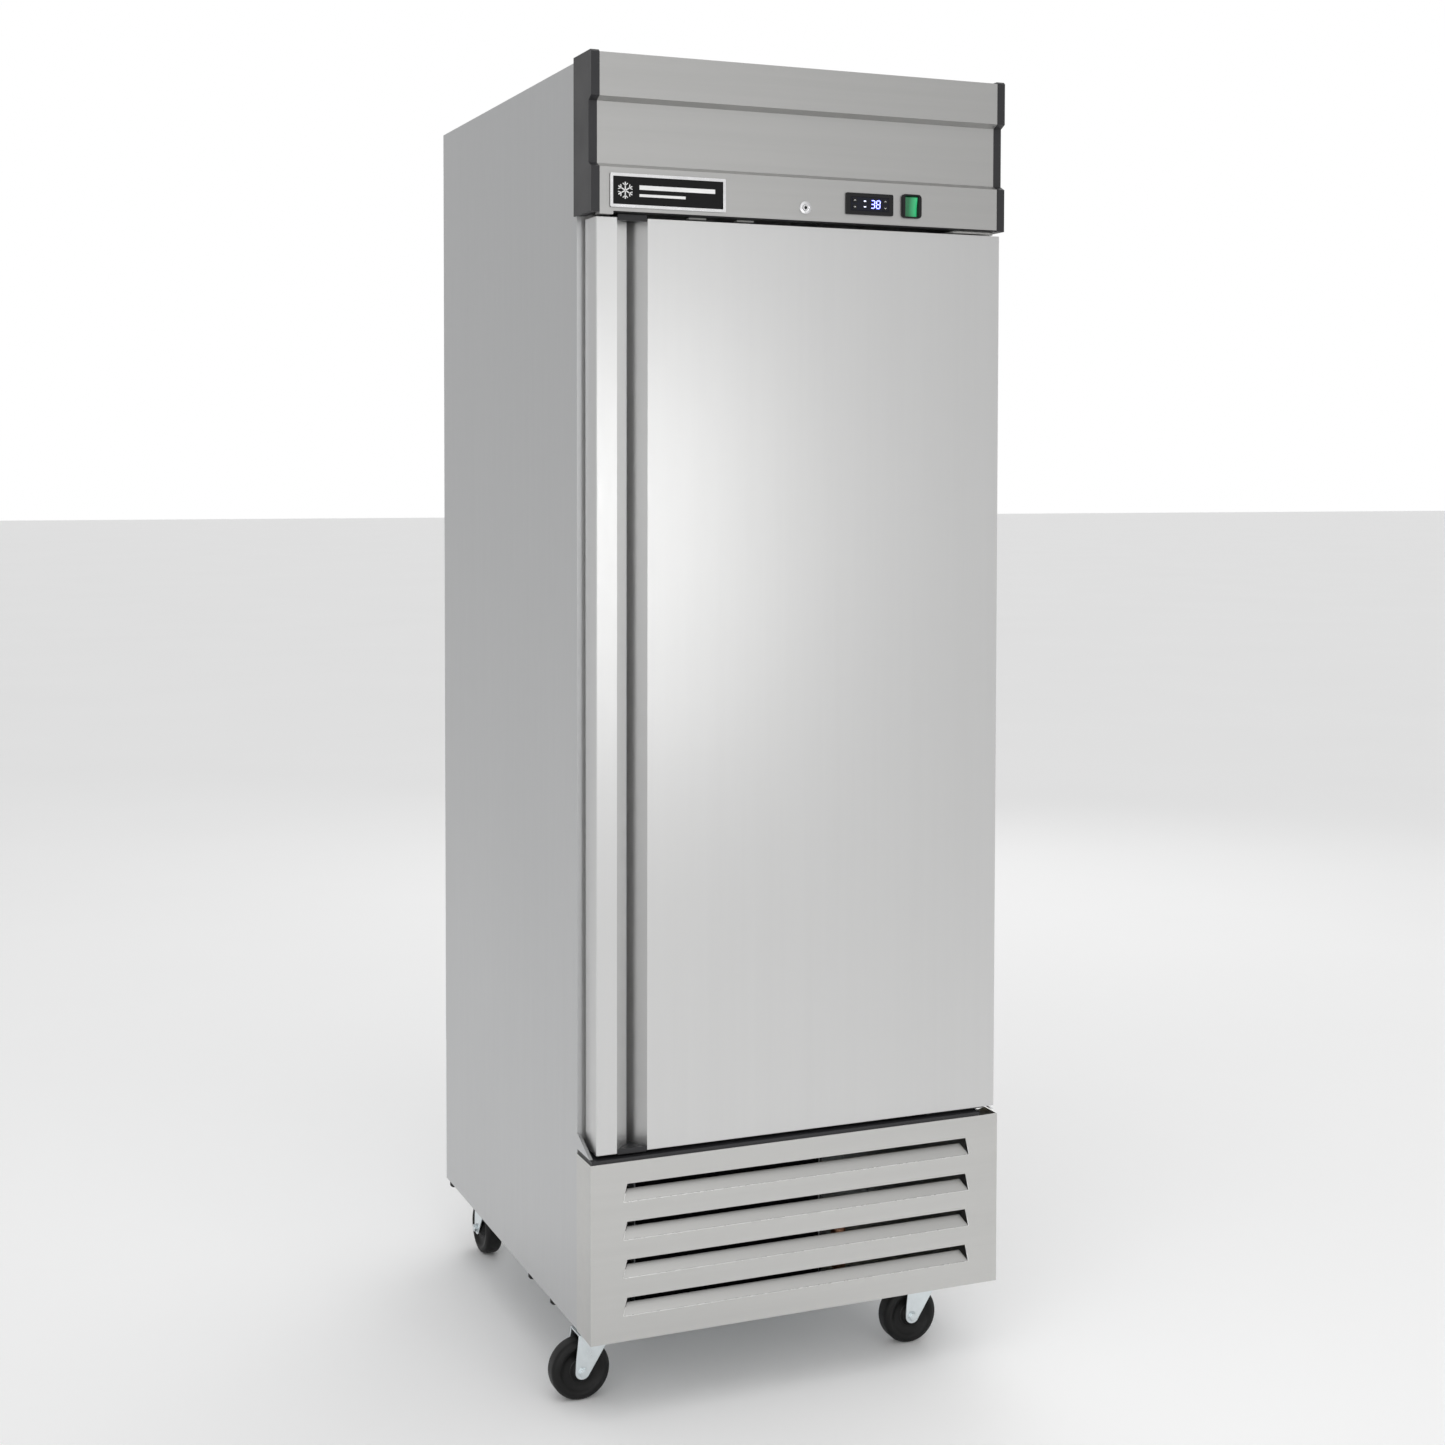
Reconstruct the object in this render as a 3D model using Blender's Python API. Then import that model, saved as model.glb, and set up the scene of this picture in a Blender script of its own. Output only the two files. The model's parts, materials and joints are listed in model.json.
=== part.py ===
"""One-door reach-in refrigerator with a bottom-mounted compressor, standing on four casters.

Metres, +Z up, front towards -Y, origin on the floor under the middle of the cabinet.
Depths are given as d, the distance behind the face of the header, so y = FACE_Y + d.
"""

import math

import bmesh
import bpy
from mathutils import Matrix, Vector

# Driving dimensions
WIDTH = 0.700          # across the header end caps and the louvered grille
DEPTH = 0.835          # header face to back panel
BASE_Z = 0.125         # underside of the cabinet
TOP_Z = 2.067          # top of the header panel
SHEET = 0.0012         # bent sheet steel
SKIN = 0.0015          # door skin and plastic shells
GAP = 0.0003           # clearance between neighbouring pieces

FACE_Y = -DEPTH / 2
SIDE_X = WIDTH / 2 - 0.0015       # outer face of the side panels
FRONT_D = 0.070                   # front of the cabinet body
CABINET_TOP = TOP_Z - 0.004

# Storage compartment
OPEN_X = 0.300
OPEN_Z = (0.440, 1.800)
LINER_BACK_D = 0.785
LINER_TOP = 2.005
LINER_FRONT_D = 0.125             # inner face of the wall above the opening
FLOOR_TOP = 0.386                 # top of the machine compartment

# Louvered grille
GRILLE_D = 0.003
GRILLE_TOP = 0.401
HINGE_RELIEF_X = 0.318            # the top flange stops here, short of the lower hinge
LOUVERS = 4
LOUVER_PITCH = 0.0584
LOUVER_TOP = 0.367
LOUVER_HEIGHT = 0.0277
LOUVER_HALF = (0.2915, 0.298)     # half widths at the top and the bottom

# Gussets in front of the cabinet at the sill, in (d, z); the hinge side stays under the door
GUSSET = {
    -1: [(0.0705, 0.4315), (0.0705, 0.4070), (0.0125, 0.4070)],
    1: [(0.0705, 0.4315), (0.0670, 0.4300), (0.0670, 0.4110), (0.0380, 0.4110), (0.0125, 0.4060), (0.0705, 0.4060)],
}

# Header
HEADER_Z = 1.8335
HEADER_X = 0.3365                 # half width of the steel face
STEPS_Z = (1.8985, 2.0025)        # where the face steps back between its bands
STEP_DEEP = 0.012
STEP_RISE = 0.006
RAIL_Z = (1.8317, 1.8332)
CAP_REAR_D = 0.081

# Door
DOOR_X = (-0.338, 0.349)
DOOR_Z = (0.412, 1.8255)
DOOR_D = (0.012, 0.061)
STRIP_X = -0.305                  # right edge of the flat grip strip
GRIP_TIP = (-0.281, 0.036)        # edge that the fingers pull on, x and d
POCKET_X = -0.303
POCKET_D = (0.040, 0.0535)
POCKET_RIGHT = -0.2785
PANEL_LEFT = -0.256               # left edge of the main face
HINGE = (0.331, 0.030)            # hinge axis, x and d
TRIM_TOP = 0.4065                 # top of the sill trim under the door
PIN_R = 0.005

# Controls on the header
LOCK = (-0.002, 1.853)
CONTROLLER = (0.1084, 1.8636)
SWITCH = (0.1817, 1.864)
ROCKER_TILT = math.radians(8)     # either way from level
ROCKER_PIVOT_D = 0.006
SWITCH_PLUNGERS = {"door_switch_light": -0.1845, "door_switch_fan": -0.1052}     # left edges
PLUNGER_WIDTH = 0.028
CAM_SLOT = ((-0.008, 0.036), (0.0265, 0.0335), (1.8140, 1.84))    # in the door's top: x, d and z

# Shelves
SHELF_Z = {"shelf_lower": 0.660, "shelf_middle": 1.000, "shelf_upper": 1.340}
SHELF_D = (0.105, 0.762)
SHELF_HALF = 0.2885
SHELF_ROD = 0.006
SHELF_WIRE = 0.0035
SHELF_WIRES = 15
PILASTER_D = (0.135, 0.700)
PILASTER_Z = (0.500, 1.700)

# Evaporator, under the top of the storage compartment
EVAPORATOR_X = 0.285
EVAPORATOR_D = (0.150, 0.780)
EVAPORATOR_BOTTOM = 1.740
EVAPORATOR_FAN = (0.340, 1.757)   # d and z

# Machine compartment
CONDENSER_X = (-0.270, 0.060)
CONDENSER_Z = (0.150, 0.375)
CONDENSER_FAN = (-0.105, 0.124, 0.262)    # x, d and z
COMPRESSOR = (0.170, 0.600)       # x and d
PAN_X = (-0.290, 0.030)
PAN_D = (0.500, 0.780)
PAN_DEEP = 0.060
INLET = (0.300, 0.160)            # power inlet, x and z

# Casters
CASTER_X = 0.288
CASTER_D = (0.114, 0.722)
WHEEL_R = 0.0475
WHEEL_W = 0.032
TRAIL = 0.044                     # from the swivel axis to the wheel's axle
CROWN_Z = 0.1170                  # underside of the swivel race
LEG_INNER = 0.0185                # inner face of a fork leg, from the wheel's middle
LEG_OUTER = 0.0210
CASTERS = {                       # side, row, and the way its wheel trails in degrees from +X
    "front_left": (-1, 0, 180),
    "front_right": (1, 0, 180),
    "rear_left": (-1, 1, 92),
    "rear_right": (1, 1, 30),
}


# Shapes

def obj_from(verts, faces):
    """An object from points and polygons, with its faces turned outwards."""
    mesh = bpy.data.meshes.new("shape")
    bm = bmesh.new()
    made = [bm.verts.new(v) for v in verts]
    for face in faces:
        bm.faces.new([made[i] for i in face])
    bmesh.ops.recalc_face_normals(bm, faces=bm.faces)
    bm.to_mesh(mesh)
    bm.free()
    obj = bpy.data.objects.new("shape", mesh)
    bpy.context.collection.objects.link(obj)
    return obj


def prism(axis, outline, low, high):
    """A closed outline extruded along X, Y or Z. Its two coordinates are the other axes, in order."""
    order = {"X": (2, 0, 1), "Y": (0, 2, 1), "Z": (0, 1, 2)}[axis]
    points = [(a, b, level) for level in (low, high) for a, b in outline]
    verts = [tuple(p[i] for i in order) for p in points]
    n = len(outline)
    sides = [(i, (i + 1) % n, n + (i + 1) % n, n + i) for i in range(n)]
    return obj_from(verts, sides + [tuple(range(n)), tuple(range(n, 2 * n))])


def depths(outline):
    """An outline in (d, z) as (y, z)."""
    return [(FACE_Y + d, z) for d, z in outline]


def plan(outline):
    """An outline in (x, d) as (x, y)."""
    return [(x, FACE_Y + d) for x, d in outline]


def block(x, d, z):
    """A box from its spans in x, d and z."""
    return prism("Z", plan([(x[0], d[0]), (x[1], d[0]), (x[1], d[1]), (x[0], d[1])]), z[0], z[1])


def turned(profile, centre, axis="Z", segments=24):
    """A profile of (radius, height) turned about an axis through centre, closed onto the axis."""
    rings = []
    for radius, height in profile:
        turns = [2 * math.pi * i / segments for i in range(segments)]
        rings.append([(radius * math.cos(a), radius * math.sin(a), height) for a in turns])
    verts = [p for ring in rings for p in ring]
    faces = []
    for r in range(len(rings) - 1):
        for i in range(segments):
            j = (i + 1) % segments
            faces.append((r * segments + i, r * segments + j, (r + 1) * segments + j, (r + 1) * segments + i))
    last = (len(rings) - 1) * segments
    faces.append(tuple(range(segments)))
    faces.append(tuple(range(last, last + segments)))
    obj = obj_from(verts, faces)
    turn = {"Z": Matrix(), "Y": Matrix.Rotation(math.pi / 2, 4, "X"), "X": Matrix.Rotation(math.pi / 2, 4, "Y")}
    obj.data.transform(Matrix.Translation(Vector(centre)) @ turn[axis])
    return obj


def cylinder(radius, centre, axis, low, high, segments=24):
    """A cylinder between two heights along its axis; centre gives the other two coordinates."""
    middle = {"X": (0, centre[0], centre[1]), "Y": (centre[0], 0, centre[1]), "Z": (centre[0], centre[1], 0)}[axis]
    sign = -1 if axis == "Y" else 1
    return turned([(radius, sign * low), (radius, sign * high)], middle, axis, segments)


def lattice(xs, ys, solid, low, high):
    """A plate made of the cells between the lines xs and ys for which solid(i, j) is true."""
    verts, index, faces = [], {}, []

    def point(i, j, level):
        key = (i, j, level)
        if key not in index:
            index[key] = len(verts)
            verts.append((xs[i], ys[j], (low, high)[level]))
        return index[key]

    def filled(i, j):
        return 0 <= i < len(xs) - 1 and 0 <= j < len(ys) - 1 and solid(i, j)

    for i in range(len(xs) - 1):
        for j in range(len(ys) - 1):
            if not filled(i, j):
                continue
            corners = [(i, j), (i + 1, j), (i + 1, j + 1), (i, j + 1)]
            for level in (0, 1):
                faces.append([point(a, b, level) for a, b in corners])
            for k, (ni, nj) in enumerate([(i, j - 1), (i + 1, j), (i, j + 1), (i - 1, j)]):
                if not filled(ni, nj):
                    a, b = corners[k], corners[(k + 1) % 4]
                    faces.append([point(*a, 0), point(*b, 0), point(*b, 1), point(*a, 1)])
    return obj_from(verts, faces)


def rounded(centre, size, radius, steps=4):
    """A rectangle outline with round corners."""
    points = []
    for quarter, (sx, sy) in enumerate([(1, 1), (-1, 1), (-1, -1), (1, -1)]):
        cx = centre[0] + sx * (size[0] / 2 - radius)
        cy = centre[1] + sy * (size[1] / 2 - radius)
        for k in range(steps + 1):
            a = math.pi / 2 * (quarter + k / steps)
            points.append((cx + radius * math.cos(a), cy + radius * math.sin(a)))
    return points


def combine(obj, others, operation):
    """A Boolean with each of the others, applied at once."""
    for other in others:
        modifier = obj.modifiers.new(operation.lower(), "BOOLEAN")
        modifier.operation = operation
        modifier.solver = "EXACT"
        modifier.object = other
        graph = bpy.context.evaluated_depsgraph_get()
        mesh = bpy.data.meshes.new_from_object(obj.evaluated_get(graph))
        obj.modifiers.clear()
        obj.data = mesh
        bpy.data.objects.remove(other)
    return obj


def cut(obj, *others):
    return combine(obj, others, "DIFFERENCE")


def join(obj, *others):
    return combine(obj, others, "UNION")


# Materials and nodes

COLOURS = {
    "stainless": ((0.58, 0.58, 0.57), 0.32, 1.0),
    "side_steel": ((0.42, 0.44, 0.45), 0.38, 1.0),
    "galvanised": ((0.52, 0.54, 0.55), 0.45, 1.0),
    "white_liner": ((0.82, 0.83, 0.83), 0.35, 0.0),
    "foam": ((0.80, 0.72, 0.48), 0.90, 0.0),
    "charcoal_plastic": ((0.075, 0.076, 0.080), 0.50, 0.0),
    "black_plastic": ((0.015, 0.015, 0.016), 0.45, 0.0),
    "gasket_rubber": ((0.30, 0.30, 0.31), 0.70, 0.0),
    "badge_black": ((0.012, 0.012, 0.014), 0.25, 0.0),
    "display_glass": ((0.010, 0.012, 0.035), 0.10, 0.0),
    "green_lens": ((0.010, 0.300, 0.100), 0.20, 0.0),
    "chrome": ((0.75, 0.75, 0.76), 0.15, 1.0),
    "light_plastic": ((0.62, 0.62, 0.60), 0.45, 0.0),
    "shelf_wire": ((0.78, 0.79, 0.79), 0.35, 0.0),
    "zinc": ((0.62, 0.66, 0.68), 0.35, 1.0),
    "caster_wheel": ((0.018, 0.018, 0.018), 0.60, 0.0),
    "aluminium": ((0.70, 0.71, 0.72), 0.40, 1.0),
    "compressor_black": ((0.020, 0.020, 0.022), 0.35, 0.0),
    "lamp_white": ((0.90, 0.92, 0.95), 0.30, 0.0),
}


def material(slot):
    made = bpy.data.materials.get(slot)
    if made:
        return made
    colour, roughness, metallic = COLOURS[slot]
    made = bpy.data.materials.new(slot)
    made.use_nodes = True
    shader = made.node_tree.nodes["Principled BSDF"]
    shader.inputs["Base Color"].default_value = (*colour, 1)
    shader.inputs["Roughness"].default_value = roughness
    shader.inputs["Metallic"].default_value = metallic
    return made


def node(obj, name, slot, pivot=None, parent=None):
    """Names a finished piece, gives it its material, and puts its origin on its pivot."""
    obj.name = name
    obj.data.name = name
    obj.data.materials.clear()
    obj.data.materials.append(material(slot))
    obj.data.shade_smooth()
    obj.data.set_sharp_from_angle(angle=math.radians(35))
    if pivot:
        obj.data.transform(Matrix.Translation(-Vector(pivot)))
        obj.location = pivot
    if parent:
        obj.parent = parent
        obj.matrix_parent_inverse = Matrix.Translation(-Vector(parent.location))
    return obj


def pivot_empty(name, place, parent=None):
    """An empty on a joint's axis, for the pieces that move together."""
    empty = bpy.data.objects.new(name, None)
    bpy.context.collection.objects.link(empty)
    empty.location = place
    empty.empty_display_size = 0.05
    if parent:
        empty.parent = parent
        empty.matrix_parent_inverse = Matrix.Translation(-Vector(parent.location))
    return empty


# Cabinet

def cabinet():
    inner_x = SIDE_X - SHEET
    flange_x = SIDE_X - 0.008
    back_d = DEPTH - 0.0015
    for side, name in ((-1, "cabinet_side_left"), (1, "cabinet_side_right")):
        bend = [(SIDE_X, FRONT_D), (SIDE_X, back_d), (inner_x, back_d)]
        bend += [(inner_x, FRONT_D + SHEET), (flange_x, FRONT_D + SHEET), (flange_x, FRONT_D)]
        outline = [(side * x, d) for x, d in bend]
        panel = prism("Z", plan(outline), BASE_Z, CABINET_TOP)
        span = sorted((side * (SIDE_X - 0.0050), side * SIDE_X))
        gusset = prism("X", depths(GUSSET[side]), *span)
        node(join(panel, gusset), name, "side_steel")

    back = block((-SIDE_X, SIDE_X), (back_d + GAP, DEPTH), (FLOOR_TOP, CABINET_TOP))
    bumpers = []
    for x in (-0.25, 0.25):
        for z in (0.70, 1.90):
            bumpers.append(block((x - 0.03, x + 0.03), (DEPTH - 0.0005, DEPTH + 0.004), (z - 0.02, z + 0.02)))
    node(join(back, *bumpers), "cabinet_back", "galvanised")

    lid = block((-inner_x + GAP, inner_x - GAP), (FRONT_D + 0.0024, back_d), (CABINET_TOP - SHEET, CABINET_TOP))
    node(lid, "cabinet_top", "galvanised")

    foam_x = inner_x - GAP
    foam_front = FRONT_D + 0.0025
    foam_top = CABINET_TOP - SHEET - GAP
    foam = block((-foam_x, foam_x), (foam_front, back_d), (FLOOR_TOP, foam_top))
    room = SKIN
    foam = cut(
        foam,
        block((-OPEN_X - room, OPEN_X + room), (0, LINER_BACK_D + room), (OPEN_Z[0] - room, OPEN_Z[1] + room)),
        block(
            (-OPEN_X - room, OPEN_X + room),
            (LINER_FRONT_D - room, LINER_BACK_D + room),
            (OPEN_Z[0] - room, LINER_TOP + room),
        ),
    )
    node(foam, "cabinet_insulation", "foam")

    wall = SHEET
    liner = block(
        (-OPEN_X - wall, OPEN_X + wall),
        (foam_front, LINER_BACK_D + wall),
        (OPEN_Z[0] - wall, OPEN_Z[1] + wall),
    )
    upper = block(
        (-OPEN_X - wall, OPEN_X + wall),
        (LINER_FRONT_D - wall, LINER_BACK_D + wall),
        (OPEN_Z[1] - 0.05, LINER_TOP + wall),
    )
    liner = cut(
        join(liner, upper),
        block((-OPEN_X, OPEN_X), (0, LINER_BACK_D), OPEN_Z),
        block((-OPEN_X, OPEN_X), (LINER_FRONT_D, LINER_BACK_D), (OPEN_Z[1] - 0.05, LINER_TOP)),
    )
    pilasters = []
    for side in (-1, 1):
        for d in PILASTER_D:
            inside, outside = side * (OPEN_X - 0.008), side * (OPEN_X + 0.0006)
            span = (min(inside, outside), max(inside, outside))
            pilasters.append(block(span, (d, d + 0.025), PILASTER_Z))
    node(join(liner, *pilasters), "inner_liner", "white_liner")

    frame_x = flange_x - GAP
    frame = lattice(
        [-frame_x, -OPEN_X, OPEN_X, frame_x],
        [0.403, OPEN_Z[0], OPEN_Z[1], CABINET_TOP],
        lambda i, j: (i, j) != (1, 1),
        -(FACE_Y + FRONT_D + 0.0022),
        -(FACE_Y + FRONT_D + GAP),
    )
    frame.data.transform(Matrix.Rotation(math.pi / 2, 4, "X"))
    node(frame, "front_frame", "stainless")


# Base, grille and rear cover

def base():
    inner_x = SIDE_X - SHEET - GAP
    pan = block((-inner_x, inner_x), (0.0048, DEPTH - 0.0020), (BASE_Z + 0.0015, 0.160))
    hollow = block((-inner_x + SHEET, inner_x - SHEET), (0.0048 + SHEET, DEPTH), (BASE_Z + 0.0030, 0.2))
    flanges = []
    for side in (-1, 1):
        span = sorted((side * (SIDE_X - 0.0083), side * (WIDTH / 2)))
        flanges.append(block(span, (FRONT_D - GAP, FRONT_D + SHEET + GAP), (0.1, 0.2)))
    node(cut(pan, hollow, *flanges), "base_frame", "galvanised")

    node(louvered_grille(), "front_grille", "stainless")

    trim = block(
        (-WIDTH / 2 + 0.0018, HINGE_RELIEF_X),
        (GRILLE_D + 0.0015, FRONT_D - GAP),
        (GRILLE_TOP + GAP, TRIM_TOP),
    )
    node(trim, "threshold_trim", "charcoal_plastic")

    cover = block((-inner_x, inner_x), (DEPTH - SHEET, DEPTH), (BASE_Z + 0.003, FLOOR_TOP - 0.0005))
    slots = []
    for side in (-1, 1):
        for row in range(7):
            z = 0.190 + 0.024 * row
            span = (min(side * 0.03, side * 0.25), max(side * 0.03, side * 0.25))
            slots.append(block(span, (DEPTH - 0.01, DEPTH + 0.01), (z, z + 0.008)))
    back_y = FACE_Y + DEPTH
    inlet = cylinder(0.0125, INLET, "Y", back_y - 0.01, back_y + 0.01, 20)
    node(cut(cover, inlet, *slots), "rear_cover", "galvanised")

    gland = cylinder(0.0120, INLET, "Y", back_y - 0.020, back_y + 0.002, 20)
    collar = cylinder(0.0165, INLET, "Y", back_y + GAP, back_y + 0.004, 6)
    hole = cylinder(0.0060, INLET, "Y", back_y - 0.03, back_y + 0.03, 16)
    node(cut(join(gland, collar), hole), "power_inlet", "black_plastic")


def louvered_grille():
    half = WIDTH / 2
    back = FRONT_D - GAP
    shell = block((-half, half), (GRILLE_D, back), (BASE_Z, GRILLE_TOP))
    hollow = block(
        (-half + SHEET, half - SHEET),
        (GRILLE_D + SHEET, back + 0.02),
        (BASE_Z + SHEET, GRILLE_TOP - SHEET),
    )
    shell = cut(shell, hollow)
    relief = [(0.040, GRILLE_TOP + 0.01), (0.040, GRILLE_TOP + 0.001), (0.064, 0.390), (0.08, 0.390), (0.08, 0.42)]
    shell = cut(
        shell,
        block((HINGE_RELIEF_X, half - SHEET), (GRILLE_D + SHEET, 0.08), (0.390, GRILLE_TOP + 0.01)),
        prism("X", depths(relief), half - 0.01, half + 0.01),
    )
    openings, lips = [], []
    top_half, bottom_half = LOUVER_HALF
    lip_rise, lip_deep = LOUVER_HEIGHT - 0.0118, 0.012
    for row in range(LOUVERS):
        top = LOUVER_TOP - row * LOUVER_PITCH
        bottom = top - LOUVER_HEIGHT
        outline = [(-bottom_half, bottom), (bottom_half, bottom), (top_half, top), (-top_half, top)]
        openings.append(prism("Y", outline, FACE_Y - 0.01, FACE_Y + GRILLE_D + 0.004))
        lips.append(louver_lip(bottom, lip_rise, lip_deep, bottom_half, top_half - 0.004))
    return join(cut(shell, *openings), *lips)


def louver_lip(bottom, rise, deep, low_half, high_half):
    """One leaning blade, joined to the panel along its lower edge."""
    verts = []
    for half, d, z in ((low_half, GRILLE_D, bottom), (high_half, GRILLE_D + deep, bottom + rise)):
        for side in (-1, 1):
            verts.append((side * half, FACE_Y + d, z))
            verts.append((side * half, FACE_Y + d + SHEET * 1.3, z))
    root = []
    for side in (-1, 1):
        root.append((side * low_half, FACE_Y + GRILLE_D, bottom - 0.0015))
        root.append((side * low_half, FACE_Y + GRILLE_D + SHEET * 1.3, bottom - 0.0015))
    verts += root
    faces = [
        (0, 2, 6, 4), (1, 5, 7, 3), (0, 4, 5, 1), (2, 3, 7, 6), (4, 6, 7, 5),
        (8, 10, 2, 0), (9, 1, 3, 11), (8, 0, 1, 9), (10, 11, 3, 2), (8, 9, 11, 10),
    ]
    return obj_from(verts, faces)


# Header and its controls

def header_face(outward=0.0):
    """The stepped front of the header from bottom to top, in (d, z)."""
    low, high = STEPS_Z
    out = -outward
    return [
        (out, HEADER_Z),
        (out, low),
        (STEP_DEEP + out, low + STEP_RISE),
        (STEP_DEEP + out, high - STEP_RISE),
        (out, high),
        (out, TOP_Z),
    ]


def header():
    face = header_face()
    outline = [(0.020, HEADER_Z)] + face + [(FRONT_D - 0.002, TOP_Z)]
    inner = [(FRONT_D - 0.002, TOP_Z - SHEET)]
    for d, z in reversed(face):
        lift = SHEET if z == HEADER_Z else (-SHEET if z == TOP_Z else 0)
        inner.append((d + SHEET, z + lift))
    inner.append((0.020, HEADER_Z + SHEET))
    panel = prism("X", depths(outline + inner), -HEADER_X, HEADER_X)
    tab = block((-HEADER_X, -0.3151), (0, 0.020), (HEADER_Z - 0.0050, HEADER_Z + 0.0005))
    panel = join(panel, tab)
    lock_x, lock_z = LOCK
    through = (FACE_Y - 0.01, FACE_Y + 0.01)
    panel = cut(
        panel,
        cylinder(0.0087, (lock_x, lock_z), "Y", *through, 24),
        prism("Y", rounded(CONTROLLER, (0.0710, 0.0290), 0.001, 1), *through),
        prism("Y", rounded(SWITCH, (0.0260, 0.0346), 0.001, 1), *through),
    )
    node(panel, "header_panel", "stainless")

    rail = block((-0.3148, HEADER_X), (0.0015, FRONT_D - 0.0005), RAIL_Z)
    slots = [block((-0.012, 0.038), (0.0260, 0.0340), (1.82, 1.84))]
    for low in SWITCH_PLUNGERS.values():
        slots.append(block((low - GAP, low + PLUNGER_WIDTH + GAP), (0.0237, 0.0363), (1.82, 1.84)))
    node(cut(rail, *slots), "header_rail", "black_plastic")

    half = WIDTH / 2
    face = header_face(0.0005)
    face[0] = (face[0][0], HEADER_Z - 0.0020)
    face[-1] = (face[-1][0], TOP_Z)
    top = TOP_Z + 0.003
    outline = [(CAP_REAR_D, HEADER_Z - 0.0020)] + face + [(0.0030, top), (CAP_REAR_D, top)]
    for side, name in ((-1, "header_end_cap_left"), (1, "header_end_cap_right")):
        span = sorted((side * half, side * (HEADER_X + GAP)))
        rear = sorted((side * (half - SHEET), 0))
        cap = cut(
            prism("X", depths(outline), *span),
            block(rear, (FRONT_D - GAP, CAP_REAR_D + 0.01), (HEADER_Z - 0.01, top + 0.01)),
        )
        node(cap, name, "charcoal_plastic")

    plate = prism("Y", rounded((-0.2278, 1.8642), (0.1856, 0.0505), 0.0015, 2), FACE_Y - 0.0022, FACE_Y - GAP)
    node(plate, "badge_plate", "badge_black")


def controls():
    bezel = prism("Y", rounded(CONTROLLER, (0.0820, 0.0335), 0.0020, 2), FACE_Y - 0.0028, FACE_Y - GAP)
    body = prism("Y", rounded(CONTROLLER, (0.0700, 0.0280), 0.001, 1), FACE_Y - 0.001, FACE_Y + 0.052)
    pocket = prism("Y", rounded(CONTROLLER, (0.0660, 0.0210), 0.001, 1), FACE_Y - 0.01, FACE_Y - 0.0015)
    node(cut(join(bezel, body), pocket), "controller_housing", "black_plastic")
    lens = prism("Y", rounded(CONTROLLER, (0.0654, 0.0204), 0.001, 1), FACE_Y - 0.0031, FACE_Y - 0.0018)
    node(lens, "controller_lens", "display_glass")

    bezel = prism("Y", rounded(SWITCH, (0.0350, 0.0374), 0.0060, 4), FACE_Y - 0.0035, FACE_Y - GAP)
    body = prism("Y", rounded(SWITCH, (0.0254, 0.0340), 0.001, 1), FACE_Y - 0.001, FACE_Y + 0.032)
    pocket = prism("Y", rounded(SWITCH, (0.0232, 0.0324), 0.0002, 1), FACE_Y - 0.01, FACE_Y + 0.030)
    node(cut(join(bezel, body), pocket), "switch_bezel", "black_plastic")

    # The rocker's ends are arcs about its pivot, so that it turns in its frame.
    pivot_d, reach = ROCKER_PIVOT_D, 0.0158
    start, end = math.radians(19), math.radians(-32)
    arc = [start + (end - start) * k / 4 for k in range(5)]
    upper = [(pivot_d - reach * math.sin(a), reach * math.cos(a)) for a in arc]
    lower = [(d, -z) for d, z in reversed(upper)]
    outline = [(0.0019, 0)] + upper + lower
    tilt = [
        (pivot_d + (d - pivot_d) * math.cos(ROCKER_TILT) - z * math.sin(ROCKER_TILT),
         (d - pivot_d) * math.sin(ROCKER_TILT) + z * math.cos(ROCKER_TILT))
        for d, z in outline
    ]
    x, z = SWITCH
    rocker = prism("X", depths([(d, z + h) for d, h in tilt]), x - 0.0113, x + 0.0113)
    node(rocker, "switch_rocker", "green_lens", pivot=(x, FACE_Y + pivot_d, z))

    for name, low in SWITCH_PLUNGERS.items():
        plunger = block((low, low + PLUNGER_WIDTH), (0.0240, 0.0360), (1.8295, 1.8420))
        node(plunger, name, "light_plastic", pivot=(low + PLUNGER_WIDTH / 2, FACE_Y + 0.030, 1.8295))


def lock():
    x, z = LOCK
    ring = cylinder(0.0098, LOCK, "Y", FACE_Y - 0.0030, FACE_Y - GAP, 32)
    barrel = cylinder(0.0083, LOCK, "Y", FACE_Y - 0.0010, FACE_Y + 0.0262, 24)
    bore = cylinder(0.0053, LOCK, "Y", FACE_Y - 0.01, FACE_Y + 0.05, 24)
    node(cut(join(ring, barrel), bore), "lock_cylinder", "chrome")

    plug = cylinder(0.0048, LOCK, "Y", FACE_Y - 0.0036, FACE_Y + 0.0290, 24)
    keyway = block((x - 0.0006, x + 0.0006), (-0.01, 0.006), (z - 0.0032, z + 0.0032))
    cam_outline = rounded((x + 0.014, z), (0.0410, 0.0120), 0.0059, 4)
    cam = prism("Y", cam_outline, FACE_Y + 0.0285, FACE_Y + 0.0315)
    node(join(cut(plug, keyway), cam), "lock_plug", "chrome", pivot=(x, FACE_Y, z))


# Door

def notch(inset):
    """The open V and the finger pocket of the handle, in (x, d), drawn in by inset."""
    tip_x, tip_d = GRIP_TIP
    return [
        (STRIP_X + 2.4 * inset, DOOR_D[0] + inset),
        (tip_x + inset, tip_d - inset / 2),
        (tip_x + inset, POCKET_D[0] - 0.002 + inset),
        (POCKET_X + inset, POCKET_D[0] + inset),
        (POCKET_X + inset, POCKET_D[1] - inset),
        (POCKET_RIGHT - inset, POCKET_D[1] - inset),
        (PANEL_LEFT - 2.0 * inset, DOOR_D[0] + inset),
    ]


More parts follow.
